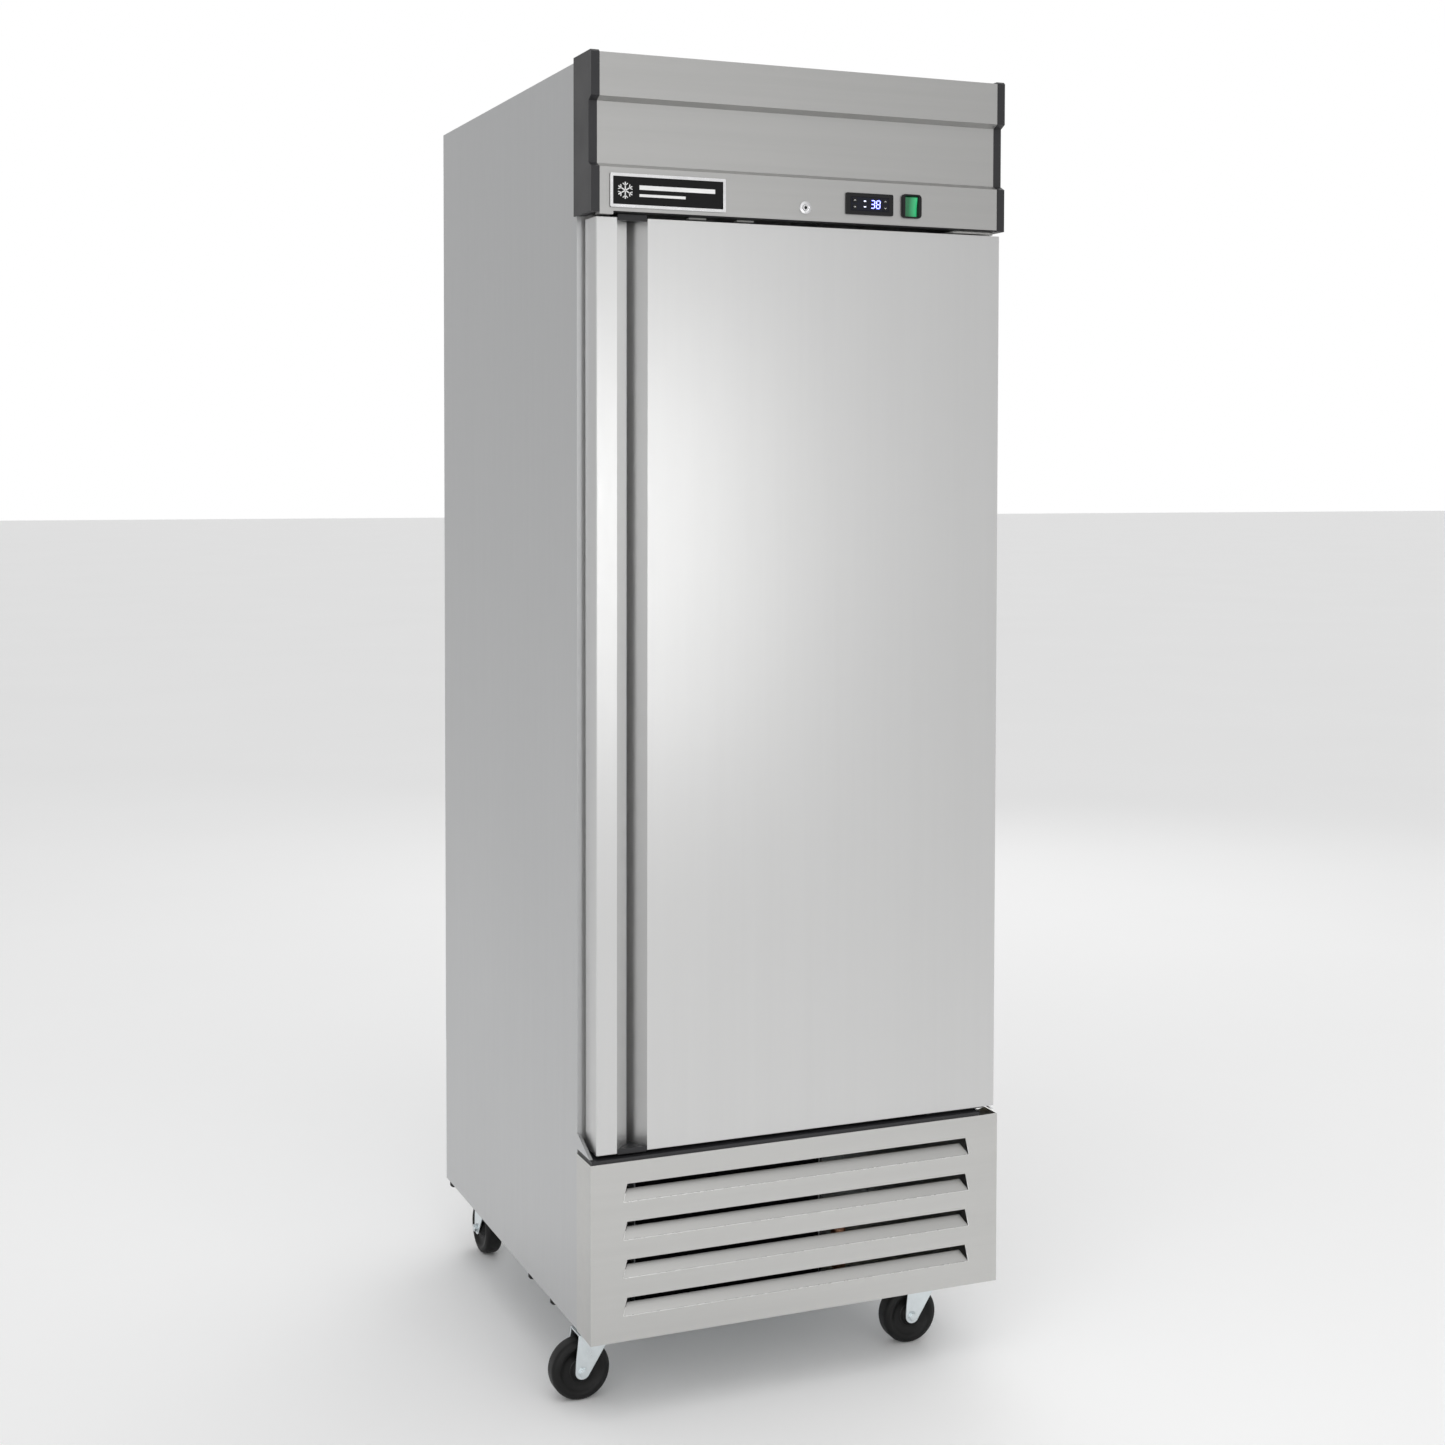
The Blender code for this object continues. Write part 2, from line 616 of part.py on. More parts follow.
def door(hinge):
    left, right = DOOR_X
    front, back = DOOR_D
    low, high = DOOR_Z
    nose = 0.0015
    outline = [(left, back), (left, front + nose), (left + nose, front)]
    outline += notch(0)
    outline += [(right - nose, front), (right, front + nose), (right, back)]
    skin = prism("Z", plan(outline), low, high)

    wall = SKIN
    hollow = [
        (left + wall, back + 0.01),
        (left + wall, front + wall),
        (POCKET_X - wall, front + wall),
        (POCKET_X - wall, POCKET_D[1] + wall),
        (POCKET_RIGHT + wall, POCKET_D[1] + wall),
        (PANEL_LEFT + wall, front + wall),
        (right - wall, front + wall),
        (right - wall, back + 0.01),
    ]
    skin = cut(skin, prism("Z", plan(hollow), low + wall, high - wall))
    axis = (HINGE[0], FACE_Y + HINGE[1])
    skin = cut(
        skin,
        cylinder(0.0115, axis, "Z", low - 0.01, low + 0.01, 24),
        cylinder(0.0093, axis, "Z", high - 0.01, high + 0.01, 24),
        block(*CAM_SLOT),
    )
    node(skin, "door_skin", "stainless", parent=hinge)

    slack = wall + GAP
    liner_d = (back - 0.0022, back - 0.0005)
    foam_outline = [
        (left + slack, liner_d[0] - GAP),
        (left + slack, front + slack),
        (POCKET_X - slack, front + slack),
        (POCKET_X - slack, POCKET_D[1] + slack),
        (POCKET_RIGHT + slack, POCKET_D[1] + slack),
        (PANEL_LEFT + slack, front + slack),
        (right - slack, front + slack),
        (right - slack, liner_d[0] - GAP),
    ]
    foam = prism("Z", plan(foam_outline), low + slack, high - slack)
    bulge = ((-0.288, 0.288), (liner_d[0], 0.078), (0.455, 1.785))
    inner = tuple((a + slack, b - slack) for a, b in (bulge[0], bulge[2]))
    core = block(inner[0], (0.0570, bulge[1][1] - slack), inner[1])
    foam = cut(
        join(foam, core),
        cylinder(0.0118, axis, "Z", low - 0.01, 0.4610, 24),
        cylinder(0.0096, axis, "Z", 1.8020, high + 0.01, 24),
        block(*[(a - GAP, b + GAP) for a, b in CAM_SLOT]),
    )
    node(foam, "door_foam", "foam", parent=hinge)

    sheet = block((left + slack, right - slack), liner_d, (low + slack, high - slack))
    sheet = join(sheet, block(*bulge))
    pan = tuple((a + wall, b - wall) for a, b in (bulge[0], bulge[2]))
    sheet = cut(sheet, block(pan[0], (0.040, bulge[1][1] - wall), pan[1]))
    node(sheet, "door_liner", "white_liner", parent=hinge)

    xs = [-0.318, -0.304, 0.312, 0.326]
    zs = [0.422, 0.436, 1.802, 1.816]
    seal = lattice(
        xs, zs, lambda i, j: (i, j) != (1, 1),
        -(FACE_Y + FRONT_D), -(FACE_Y + back - 0.0002),
    )
    seal.data.transform(Matrix.Rotation(math.pi / 2, 4, "X"))
    node(seal, "door_gasket", "gasket_rubber", parent=hinge)

    plug = plan(notch(GAP * 1.5))
    node(prism("Z", plug, high - 0.004, high + 0.0053), "handle_cap_top", "charcoal_plastic", parent=hinge)
    node(prism("Z", plug, low - 0.002, low + 0.006), "handle_cap_bottom", "charcoal_plastic", parent=hinge)

    closer = cylinder(0.0112, axis, "Z", low + GAP, 0.4600, 24)
    bore = cylinder(PIN_R + 0.0004, axis, "Z", low - 0.01, 0.4400, 24)
    node(cut(closer, bore), "door_closer", "zinc", parent=hinge)
    bush = cylinder(0.0090, axis, "Z", 1.8025, high - 0.0002, 24)
    bore = cylinder(PIN_R + 0.0004, axis, "Z", 1.79, high + 0.01, 24)
    node(cut(bush, bore), "door_top_bush", "light_plastic", parent=hinge)


def hinges():
    axis = (HINGE[0], FACE_Y + HINGE[1])
    low, high = DOOR_Z
    arm = rounded((0.305, FACE_Y + 0.041), (0.078, 0.048), 0.012, 4)
    plate = prism("Z", arm, high + 0.0028, high + 0.0058)
    riser = block((0.266, 0.336), (FRONT_D - 0.005, FRONT_D - GAP), (high + 0.0030, high + 0.0058))
    pin = cylinder(PIN_R, axis, "Z", 1.8060, high + 0.0040, 20)
    node(join(plate, riser, pin), "top_hinge_bracket", "light_plastic")

    arm = rounded((0.272, FACE_Y + 0.0440), (0.092, 0.0510), 0.009, 4)
    plate = prism("Z", arm, TRIM_TOP + GAP, TRIM_TOP + 0.0033)
    tongue = block((0.300, HINGE[0]), (HINGE[1] - 0.0080, HINGE[1] + 0.0080), (TRIM_TOP + 0.0006, TRIM_TOP + 0.0033))
    pin = cylinder(PIN_R, axis, "Z", 0.4080, 0.4360, 20)
    washer = cylinder(0.0085, axis, "Z", TRIM_TOP + 0.0006, 0.4113, 20)
    node(join(plate, tongue, washer, pin), "bottom_hinge_bracket", "black_plastic")


# Inside the storage compartment

def shelves():
    inner = SHELF_HALF - SHELF_ROD
    front, back = SHELF_D
    pitch = 2 * inner / SHELF_WIRES
    xs = [-SHELF_HALF, -inner]
    for i in range(1, SHELF_WIRES):
        middle = -inner + i * pitch
        xs += [middle - SHELF_WIRE / 2, middle + SHELF_WIRE / 2]
    xs += [inner, SHELF_HALF]
    ys = []
    for start in (front, 0.320, 0.541, back - SHELF_ROD):
        ys += [FACE_Y + start, FACE_Y + start + SHELF_ROD]
    for name, z in SHELF_Z.items():
        node(lattice(xs, ys, lambda i, j: i % 2 == 0 or j % 2 == 0, z, z + SHELF_ROD), name, "shelf_wire")


def evaporator():
    half, (front, back), bottom = EVAPORATOR_X, EVAPORATOR_D, EVAPORATOR_BOTTOM
    cover = block((-half, half), (front, back), (bottom, LINER_TOP - 0.0005))
    hollow = block((-half + SKIN, half - SKIN), (front + SKIN, back - SKIN), (bottom + SKIN, LINER_TOP + 0.02))
    fan_d, fan_z = EVAPORATOR_FAN
    fan_at = (0.0, FACE_Y + fan_d)
    mouth = cylinder(0.105, fan_at, "Z", bottom - 0.01, bottom + 0.01, 32)
    returns = []
    for k in range(3):
        start = 0.70 + 0.02 * k
        returns.append(block((-0.20, 0.20), (start, start + 0.008), (bottom - 0.01, bottom + 0.01)))
    node(cut(cover, hollow, mouth, *returns), "evaporator_cover", "white_liner")

    node(finned_block((-0.24, 0.24), (0.52, 0.68), (1.775, 1.960), 16), "evaporator_coil", "aluminium")

    fan = fan_blades(0.098, 0.026, 0.022, 5)
    fan.data.transform(Matrix.Translation((*fan_at, fan_z)))
    node(fan, "evaporator_fan", "black_plastic", pivot=(*fan_at, fan_z))

    motor = cylinder(0.036, fan_at, "Z", fan_z + 0.028, fan_z + 0.093, 24)
    shaft = cylinder(0.0035, fan_at, "Z", fan_z + 0.0145, fan_z + 0.033, 12)
    arm = block((-0.2825, 0.2825), (fan_d - 0.008, fan_d + 0.008), (fan_z + 0.063, fan_z + 0.069))
    node(join(motor, shaft, arm), "evaporator_fan_motor", "aluminium")

    lamp = block((-0.150, 0.150), (front + 0.010, front + 0.040), (bottom - 0.012, bottom - GAP))
    node(lamp, "interior_lamp", "lamp_white")


def finned_block(x, d, z, fins):
    """A heat exchanger: a slab with its face cut into fins, in plan."""
    pitch = (x[1] - x[0]) / fins
    deep = 0.35 * (d[1] - d[0])
    outline = [(x[1], d[1]), (x[0], d[1]), (x[0], d[0])]
    for i in range(fins):
        start = x[0] + i * pitch
        outline += [(start + 0.6 * pitch, d[0])]
        if i < fins - 1:
            outline += [(start + 0.6 * pitch, d[0] + deep), (start + pitch, d[0] + deep), (start + pitch, d[0])]
    outline += [(x[1], d[0])]
    return prism("Z", plan(outline), *z)


def fan_blades(radius, hub, deep, blades):
    """A fan about Z, centred on the origin, with pitched blades joined to its hub."""
    fan = cylinder(hub, (0, 0), "Z", -deep / 2, deep / 2, 20)
    for k in range(blades):
        outline = [(hub * 0.8, -0.012), (radius, -0.030), (radius, 0.030), (hub * 0.8, 0.012)]
        blade = prism("Z", outline, -0.0010, 0.0010)
        blade.data.transform(Matrix.Rotation(math.radians(18), 4, "X"))
        blade.data.transform(Matrix.Rotation(2 * math.pi * k / blades, 4, "Z"))
        fan = join(fan, blade)
    return fan


# Machine compartment

def machinery():
    floor = BASE_Z + 0.0030
    x, y = COMPRESSOR[0], FACE_Y + COMPRESSOR[1]
    shell = [(0.050, 0.020), (0.068, 0.026), (0.078, 0.045), (0.078, 0.135), (0.068, 0.165), (0.040, 0.182)]
    shell = turned([(r, floor + h) for r, h in shell], (x, y, 0))
    feet = []
    for sx in (-1, 1):
        for sy in (-1, 1):
            feet.append(cylinder(0.012, (x + sx * 0.062, y + sy * 0.062), "Z", floor + GAP, floor + 0.0235, 12))
    tray = prism("Z", rounded((x, y), (0.150, 0.150), 0.020, 3), floor + 0.0200, floor + 0.0235)
    tail = cylinder(0.005, (x - 0.03, y), "Z", floor + 0.150, floor + 0.205, 12)
    node(join(shell, tray, *feet, tail), "compressor", "compressor_black")

    fan_x, fan_d, fan_z = CONDENSER_FAN
    fan_y, centre = FACE_Y + fan_d, (fan_x, fan_z)
    coil = finned_block(CONDENSER_X, (0.050, 0.100), CONDENSER_Z, 18)
    shroud = block(CONDENSER_X, (0.099, 0.140), CONDENSER_Z)
    throat = cylinder(0.098, centre, "Y", fan_y - 0.020, fan_y + 0.026, 32)
    foot = block(CONDENSER_X, (0.060, 0.140), (floor + GAP, CONDENSER_Z[0] + 0.002))
    node(join(cut(join(coil, shroud), throat), foot), "condenser", "aluminium")

    fan = fan_blades(0.090, 0.024, 0.020, 5)
    fan.data.transform(Matrix.Rotation(math.pi / 2, 4, "X"))
    fan.data.transform(Matrix.Translation((fan_x, fan_y, fan_z)))
    node(fan, "condenser_fan", "black_plastic", pivot=(fan_x, fan_y, fan_z))

    motor = cylinder(0.036, centre, "Y", fan_y + 0.026, fan_y + 0.091, 24)
    shaft = cylinder(0.0035, centre, "Y", fan_y + 0.0105, fan_y + 0.031, 12)
    leg = block((fan_x - 0.015, fan_x + 0.015), (0.175, 0.190), (floor + GAP, 0.235))
    foot = block((fan_x - 0.045, fan_x + 0.045), (0.165, 0.200), (floor + GAP, floor + 0.004))
    node(join(motor, shaft, leg, foot), "condenser_fan_motor", "aluminium")

    pan = block(PAN_X, PAN_D, (floor + GAP, floor + PAN_DEEP))
    inside = tuple((low + SKIN, high - SKIN) for low, high in (PAN_X, PAN_D))
    hollow = block(*inside, (floor + 0.002, floor + PAN_DEEP + 0.01))
    node(cut(pan, hollow), "condensate_pan", "black_plastic")


# Casters

def caster(place, side, row, heading):
    """A swivel caster whose wheel trails from its pivot in the heading, in degrees from +X."""
    x, y = side * CASTER_X, FACE_Y + CASTER_D[row]
    plate_top = BASE_Z + 0.0012
    plate = block((x - 0.032, x + 0.032), (y - FACE_Y - 0.043, y - FACE_Y + 0.043), (plate_top - 0.0032, plate_top))
    race = cylinder(0.024, (x, y), "Z", CROWN_Z + GAP, plate_top - 0.002, 24)
    king = cylinder(0.0060, (x, y), "Z", CROWN_Z - 0.0060, CROWN_Z + 0.002, 16)
    node(join(plate, race, king), "caster_plate_" + place, "zinc")

    swivel = pivot_empty("swivel_" + place, (x, y, CROWN_Z))
    turn = Matrix.Translation((x, y, 0)) @ Matrix.Rotation(math.radians(heading), 4, "Z")
    crown = cylinder(0.027, (0, 0), "Z", CROWN_Z - 0.0120, CROWN_Z, 24)
    legs = []
    for across in (-1, 1):
        span = sorted((across * LEG_INNER, across * LEG_OUTER))
        legs.append(prism("Y", fork_outline(), *span))
    bridge = block((-0.014, 0.050), (-0.0205 - FACE_Y, 0.0205 - FACE_Y), (CROWN_Z - 0.0145, CROWN_Z - 0.0110))
    axle = cylinder(0.0040, (TRAIL, WHEEL_R), "Y", -0.0250, 0.0250, 16)
    nuts = [cylinder(0.0070, (TRAIL, WHEEL_R), "Y", a, b, 6) for a, b in ((-0.0245, -0.0205), (0.0205, 0.0245))]
    fork = join(crown, bridge, *legs, axle, *nuts)
    fork = cut(fork, cylinder(0.0064, (0, 0), "Z", CROWN_Z - 0.0125, CROWN_Z + 0.01, 16))
    fork.data.transform(turn)
    node(fork, "caster_fork_" + place, "zinc", parent=swivel)

    half = WHEEL_W / 2
    rim = [(0.0046, -half), (0.0120, -half), (0.0150, -half + 0.0040), (0.0290, -half + 0.0040)]
    rim += [(0.0345, -half + 0.0005), (0.0410, -half), (WHEEL_R - 0.0025, -half + 0.0030), (WHEEL_R, -half + 0.0095)]
    profile = rim + [(r, -h) for r, h in reversed(rim)]
    wheel = ring_of(profile, 32)
    wheel.data.transform(Matrix.Translation((TRAIL, 0, WHEEL_R)) @ Matrix.Rotation(math.pi / 2, 4, "X"))
    wheel.data.transform(turn)
    centre = turn @ Vector((TRAIL, 0, WHEEL_R))
    node(wheel, "caster_wheel_" + place, "caster_wheel", pivot=centre, parent=swivel)


def fork_outline():
    """One fork leg from the side: wide at the crown, tapering to a round end about the axle."""
    end = 0.0120
    tip = [math.radians(a) for a in (-155, -122, -90, -58, -30, 0)]
    points = [(TRAIL + end * math.cos(a), WHEEL_R + end * math.sin(a)) for a in tip]
    top = CROWN_Z - 0.0115
    return [(-0.008, top), (0.004, WHEEL_R + 0.042)] + points + [(0.050, top)]


def ring_of(profile, segments):
    """A closed profile of (radius, height) turned about Z, leaving a bore."""
    n = len(profile)
    verts, faces = [], []
    for i in range(segments):
        a = 2 * math.pi * i / segments
        verts += [(r * math.cos(a), r * math.sin(a), h) for r, h in profile]
    for i in range(segments):
        j = (i + 1) % segments
        for k in range(n):
            m = (k + 1) % n
            faces.append((i * n + k, j * n + k, j * n + m, i * n + m))
    return obj_from(verts, faces)


def main():
    for obj in list(bpy.data.objects):
        bpy.data.objects.remove(obj)
    cabinet()
    base()
    header()
    controls()
    lock()
    hinge = pivot_empty("door_hinge", (HINGE[0], FACE_Y + HINGE[1], DOOR_Z[0]))
    door(hinge)
    hinges()
    shelves()
    evaporator()
    machinery()
    for place, (side, row, heading) in CASTERS.items():
        caster(place, side, row, heading)


main()
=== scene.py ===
"""Looks for the one-door reach-in refrigerator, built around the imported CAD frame."""

import json
import math

import bmesh
import bpy
from mathutils import Matrix, Vector


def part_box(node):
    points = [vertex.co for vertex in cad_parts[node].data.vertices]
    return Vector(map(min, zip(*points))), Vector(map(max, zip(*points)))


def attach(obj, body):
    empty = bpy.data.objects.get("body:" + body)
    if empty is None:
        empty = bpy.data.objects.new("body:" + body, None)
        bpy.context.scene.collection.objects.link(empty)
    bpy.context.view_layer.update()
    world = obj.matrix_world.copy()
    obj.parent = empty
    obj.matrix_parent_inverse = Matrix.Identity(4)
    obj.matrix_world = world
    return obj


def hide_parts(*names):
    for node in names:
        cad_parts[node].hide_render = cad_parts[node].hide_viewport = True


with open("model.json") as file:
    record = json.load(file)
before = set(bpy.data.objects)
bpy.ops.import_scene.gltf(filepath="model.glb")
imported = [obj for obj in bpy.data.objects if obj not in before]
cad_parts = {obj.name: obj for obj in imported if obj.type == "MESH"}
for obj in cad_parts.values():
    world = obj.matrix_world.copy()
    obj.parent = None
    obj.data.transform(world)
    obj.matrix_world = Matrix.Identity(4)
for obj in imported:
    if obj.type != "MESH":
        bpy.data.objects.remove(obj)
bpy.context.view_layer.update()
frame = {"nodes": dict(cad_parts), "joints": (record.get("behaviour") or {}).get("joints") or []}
nodes = frame["nodes"]
joints = {j["name"]: j for j in frame["joints"]}

PLACES = ("front_left", "front_right", "rear_left", "rear_right")
SHELVES = ("shelf_lower", "shelf_middle", "shelf_upper")

# Louvers of the lower grille
LOUVERS = 4
LOUVER_TOP = 0.367
LOUVER_PITCH = 0.0584
LOUVER_HEIGHT = 0.0277
LOUVER_HALF_WIDTH = 0.2975

# Shelf posts on the liner's walls
PILASTER_X = 0.2918
PILASTER_Y = (-0.2825, 0.2825)
PILASTER_Z = (0.505, 1.695)
PILASTER_SLOTS = 46
SHELF_WIRES = 24

# Controller display and keys
SEGMENTS = {"3": "abgcd", "8": "abcdefg"}
KEY_OFFSET = (0.0265, 0.0052)

# Condenser and its fan's opening
CONDENSER_FLOOR = 0.150
SHROUD_HOLE = 0.098
SHROUD_SHEET = 0.0012

FLOOR_SIZE = 60

CAMERA_PLACE = (-1.3796, -3.4012, 1.4473)
CAMERA_TURN = (22.587, 2.110, 0.109)     # to the right, down and rolled, in degrees
CAMERA_LENS = 52.79
CAMERA_SHIFT_Y = -0.120

# Brightness of the room round the compass, in degrees from +Y towards +X: pale behind the object
# and in front of it, darker at its sides.
ROOM = ((-180, 1.0), (-120, 0.95), (-95, 0.50), (-60, 0.46), (-38, 0.60), (-12, 0.62), (-2, 1.0), (60, 1.0),
        (85, 0.75), (138, 0.52), (150, 0.66), (163, 1.0), (180, 1.0))

# Turns an outline drawn in x and y upright, into x and z, with its depth along y
UPRIGHT = Matrix(((1, 0, 0, 0), (0, 0, 1, 0), (0, 1, 0, 0), (0, 0, 0, 1)))

BAR_FACES = ((0, 1, 2, 3), (4, 7, 6, 5), (0, 4, 5, 1), (1, 5, 6, 2), (2, 6, 7, 3), (3, 7, 4, 0))


# Node helpers

def shader_of(material):
    return material.node_tree.nodes["Principled BSDF"]


def add(tree, kind, **values):
    """A node with its properties and its sockets' values set by name."""
    node = tree.nodes.new(kind)
    for key, value in values.items():
        if key in node.inputs:
            node.inputs[key].default_value = value
        else:
            setattr(node, key, value)
    return node


def noise(tree, scale, stretch=(1, 1, 1), detail=4.0, rough=0.55):
    """Noise in the piece's own coordinates, stretched by a scale on each axis."""
    place = add(tree, "ShaderNodeTexCoord")
    spread = add(tree, "ShaderNodeMapping", Scale=stretch)
    tree.links.new(place.outputs["Object"], spread.inputs["Vector"])
    made = add(tree, "ShaderNodeTexNoise", Scale=scale, Detail=detail, Roughness=rough)
    tree.links.new(spread.outputs[0], made.inputs["Vector"])
    return made.outputs["Fac"]


def ranged(tree, source, low, high, start=0.3, end=0.7):
    """The source from start to end, as low to high."""
    node = add(tree, "ShaderNodeMapRange")
    for socket, value in (("From Min", start), ("From Max", end), ("To Min", low), ("To Max", high)):
        node.inputs[socket].default_value = value
    tree.links.new(source, node.inputs["Value"])
    return node.outputs["Result"]


def mixed(tree, source, first, second):
    """The first colour where the source is 0, the second where it is 1."""
    node = add(tree, "ShaderNodeMix", data_type="RGBA")
    colours = [s for s in node.inputs if s.type == "RGBA"]
    colours[0].default_value = (*first, 1)
    colours[1].default_value = (*second, 1)
    tree.links.new(source, node.inputs["Factor"])
    return [s for s in node.outputs if s.type == "RGBA"][0]


def bumped(tree, shader, source, strength, distance):
    node = add(tree, "ShaderNodeBump", Strength=strength, Distance=distance)
    tree.links.new(source, node.inputs["Height"])
    tree.links.new(node.outputs["Normal"], shader.inputs["Normal"])


def shaded(colour, share):
    return tuple(min(1.0, c * share) for c in colour)


def plain(name):
    material = bpy.data.materials.new(name)
    material.use_nodes = True
    return material, material.node_tree, shader_of(material)


# Materials

def brushed_steel(name, colour, roughness, along="Z", streak=0.05, smudge=0.05):
    """Stainless steel with fine grain along one axis, and faint clouds left by wiping."""
    material, tree, shader = plain(name)
    stretch = {"X": (0.02, 1, 1), "Y": (1, 0.02, 1), "Z": (1, 1, 0.02)}[along]
    grain = noise(tree, 900, stretch, 3.0, 0.6)
    wide = noise(tree, 60, stretch, 4.0, 0.6)
    cloud = noise(tree, 2.6, (1, 1, 0.6), 3.0, 0.5)
    tint = mixed(tree, ranged(tree, wide, 0, 1), shaded(colour, 1 - streak), shaded(colour, 1 + streak))
    tree.links.new(tint, shader.inputs["Base Color"])
    total = add(tree, "ShaderNodeMath", operation="ADD")
    tree.links.new(ranged(tree, grain, -0.03, 0.03), total.inputs[0])
    tree.links.new(ranged(tree, cloud, roughness - smudge, roughness + smudge), total.inputs[1])
    tree.links.new(total.outputs[0], shader.inputs["Roughness"])
    shader.inputs["Metallic"].default_value = 1.0
    bumped(tree, shader, grain, 0.08, 0.0002)
    return material


def galvanised(name, colour, roughness):
    """Zinc-coated sheet with its crystal spangle."""
    material, tree, shader = plain(name)
    place = add(tree, "ShaderNodeTexCoord")
    cells = add(tree, "ShaderNodeTexVoronoi", Scale=120.0)
    tree.links.new(place.outputs["Object"], cells.inputs["Vector"])
    split = add(tree, "ShaderNodeSeparateColor")
    tree.links.new(cells.outputs["Color"], split.inputs[0])
    tint = mixed(tree, split.outputs[0], shaded(colour, 0.88), shaded(colour, 1.1))
    tree.links.new(tint, shader.inputs["Base Color"])
    rough = ranged(tree, split.outputs[1], roughness - 0.06, roughness + 0.08, 0, 1)
    tree.links.new(rough, shader.inputs["Roughness"])
    shader.inputs["Metallic"].default_value = 1.0
    bumped(tree, shader, noise(tree, 300), 0.06, 0.0002)
    return material


def moulded(name, colour, roughness, texture=700, bump=0.12, coat=0.0, worn=0.12, specular=0.5):
    """Moulded plastic, rubber or paint, with a fine texture and slight cloudiness."""
    material, tree, shader = plain(name)
    cloud = noise(tree, 9, (1, 1, 1), 4.0, 0.6)
    tint = mixed(tree, ranged(tree, cloud, 0, 1), shaded(colour, 1 - worn), shaded(colour, 1 + worn))
    tree.links.new(tint, shader.inputs["Base Color"])
    tree.links.new(ranged(tree, cloud, roughness - 0.05, roughness + 0.06), shader.inputs["Roughness"])
    shader.inputs["Specular IOR Level"].default_value = specular
    shader.inputs["Coat Weight"].default_value = coat
    shader.inputs["Coat Roughness"].default_value = 0.08
    bumped(tree, shader, noise(tree, texture, (1, 1, 1), 2.0), bump, 0.0003)
    return material


def bright_metal(name, colour, roughness, worn=0.06):
    """Plated or cast metal with small dull patches."""
    material, tree, shader = plain(name)
    cloud = noise(tree, 55, (1, 1, 1), 5.0, 0.65)
    tint = mixed(tree, ranged(tree, cloud, 0, 1), shaded(colour, 1 - worn), shaded(colour, 1 + worn))
    tree.links.new(tint, shader.inputs["Base Color"])
    tree.links.new(ranged(tree, cloud, roughness, roughness + 0.12), shader.inputs["Roughness"])
    shader.inputs["Metallic"].default_value = 1.0
    bumped(tree, shader, noise(tree, 400), 0.04, 0.0002)
    return material


def glowing(name, colour, strength, base=(0.05, 0.05, 0.05)):
    material, tree, shader = plain(name)
    cloud = noise(tree, 120)
    tint = mixed(tree, ranged(tree, cloud, 0, 1), shaded(base, 0.9), shaded(base, 1.1))
    tree.links.new(tint, shader.inputs["Base Color"])
    shader.inputs["Roughness"].default_value = 0.25
    shader.inputs["Emission Color"].default_value = (*colour, 1)
    shader.inputs["Emission Strength"].default_value = strength
    return material


def rocker_green(name):
    """Translucent green rocker, lit from behind on its right half: the brighter right half is a painted
    highlight in its colour and glow.
    """
    material, tree, shader = plain(name)
    low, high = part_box("switch_rocker")
    place = add(tree, "ShaderNodeTexCoord")
    split = add(tree, "ShaderNodeSeparateXYZ")
    tree.links.new(place.outputs["Object"], split.inputs[0])
    # painted highlight: colour and glow brighten towards the rocker's right side
    across = ranged(tree, split.outputs["X"], 0, 1, low.x + 0.35 * (high.x - low.x), high.x)
    tint = mixed(tree, across, (0.004, 0.10, 0.035), (0.03, 0.42, 0.16))
    tree.links.new(tint, shader.inputs["Base Color"])
    tree.links.new(tint, shader.inputs["Emission Color"])
    shader.inputs["Emission Strength"].default_value = 0.55
    cloud = noise(tree, 200)
    tree.links.new(ranged(tree, cloud, 0.14, 0.24), shader.inputs["Roughness"])
    shader.inputs["Coat Weight"].default_value = 0.6
    return material
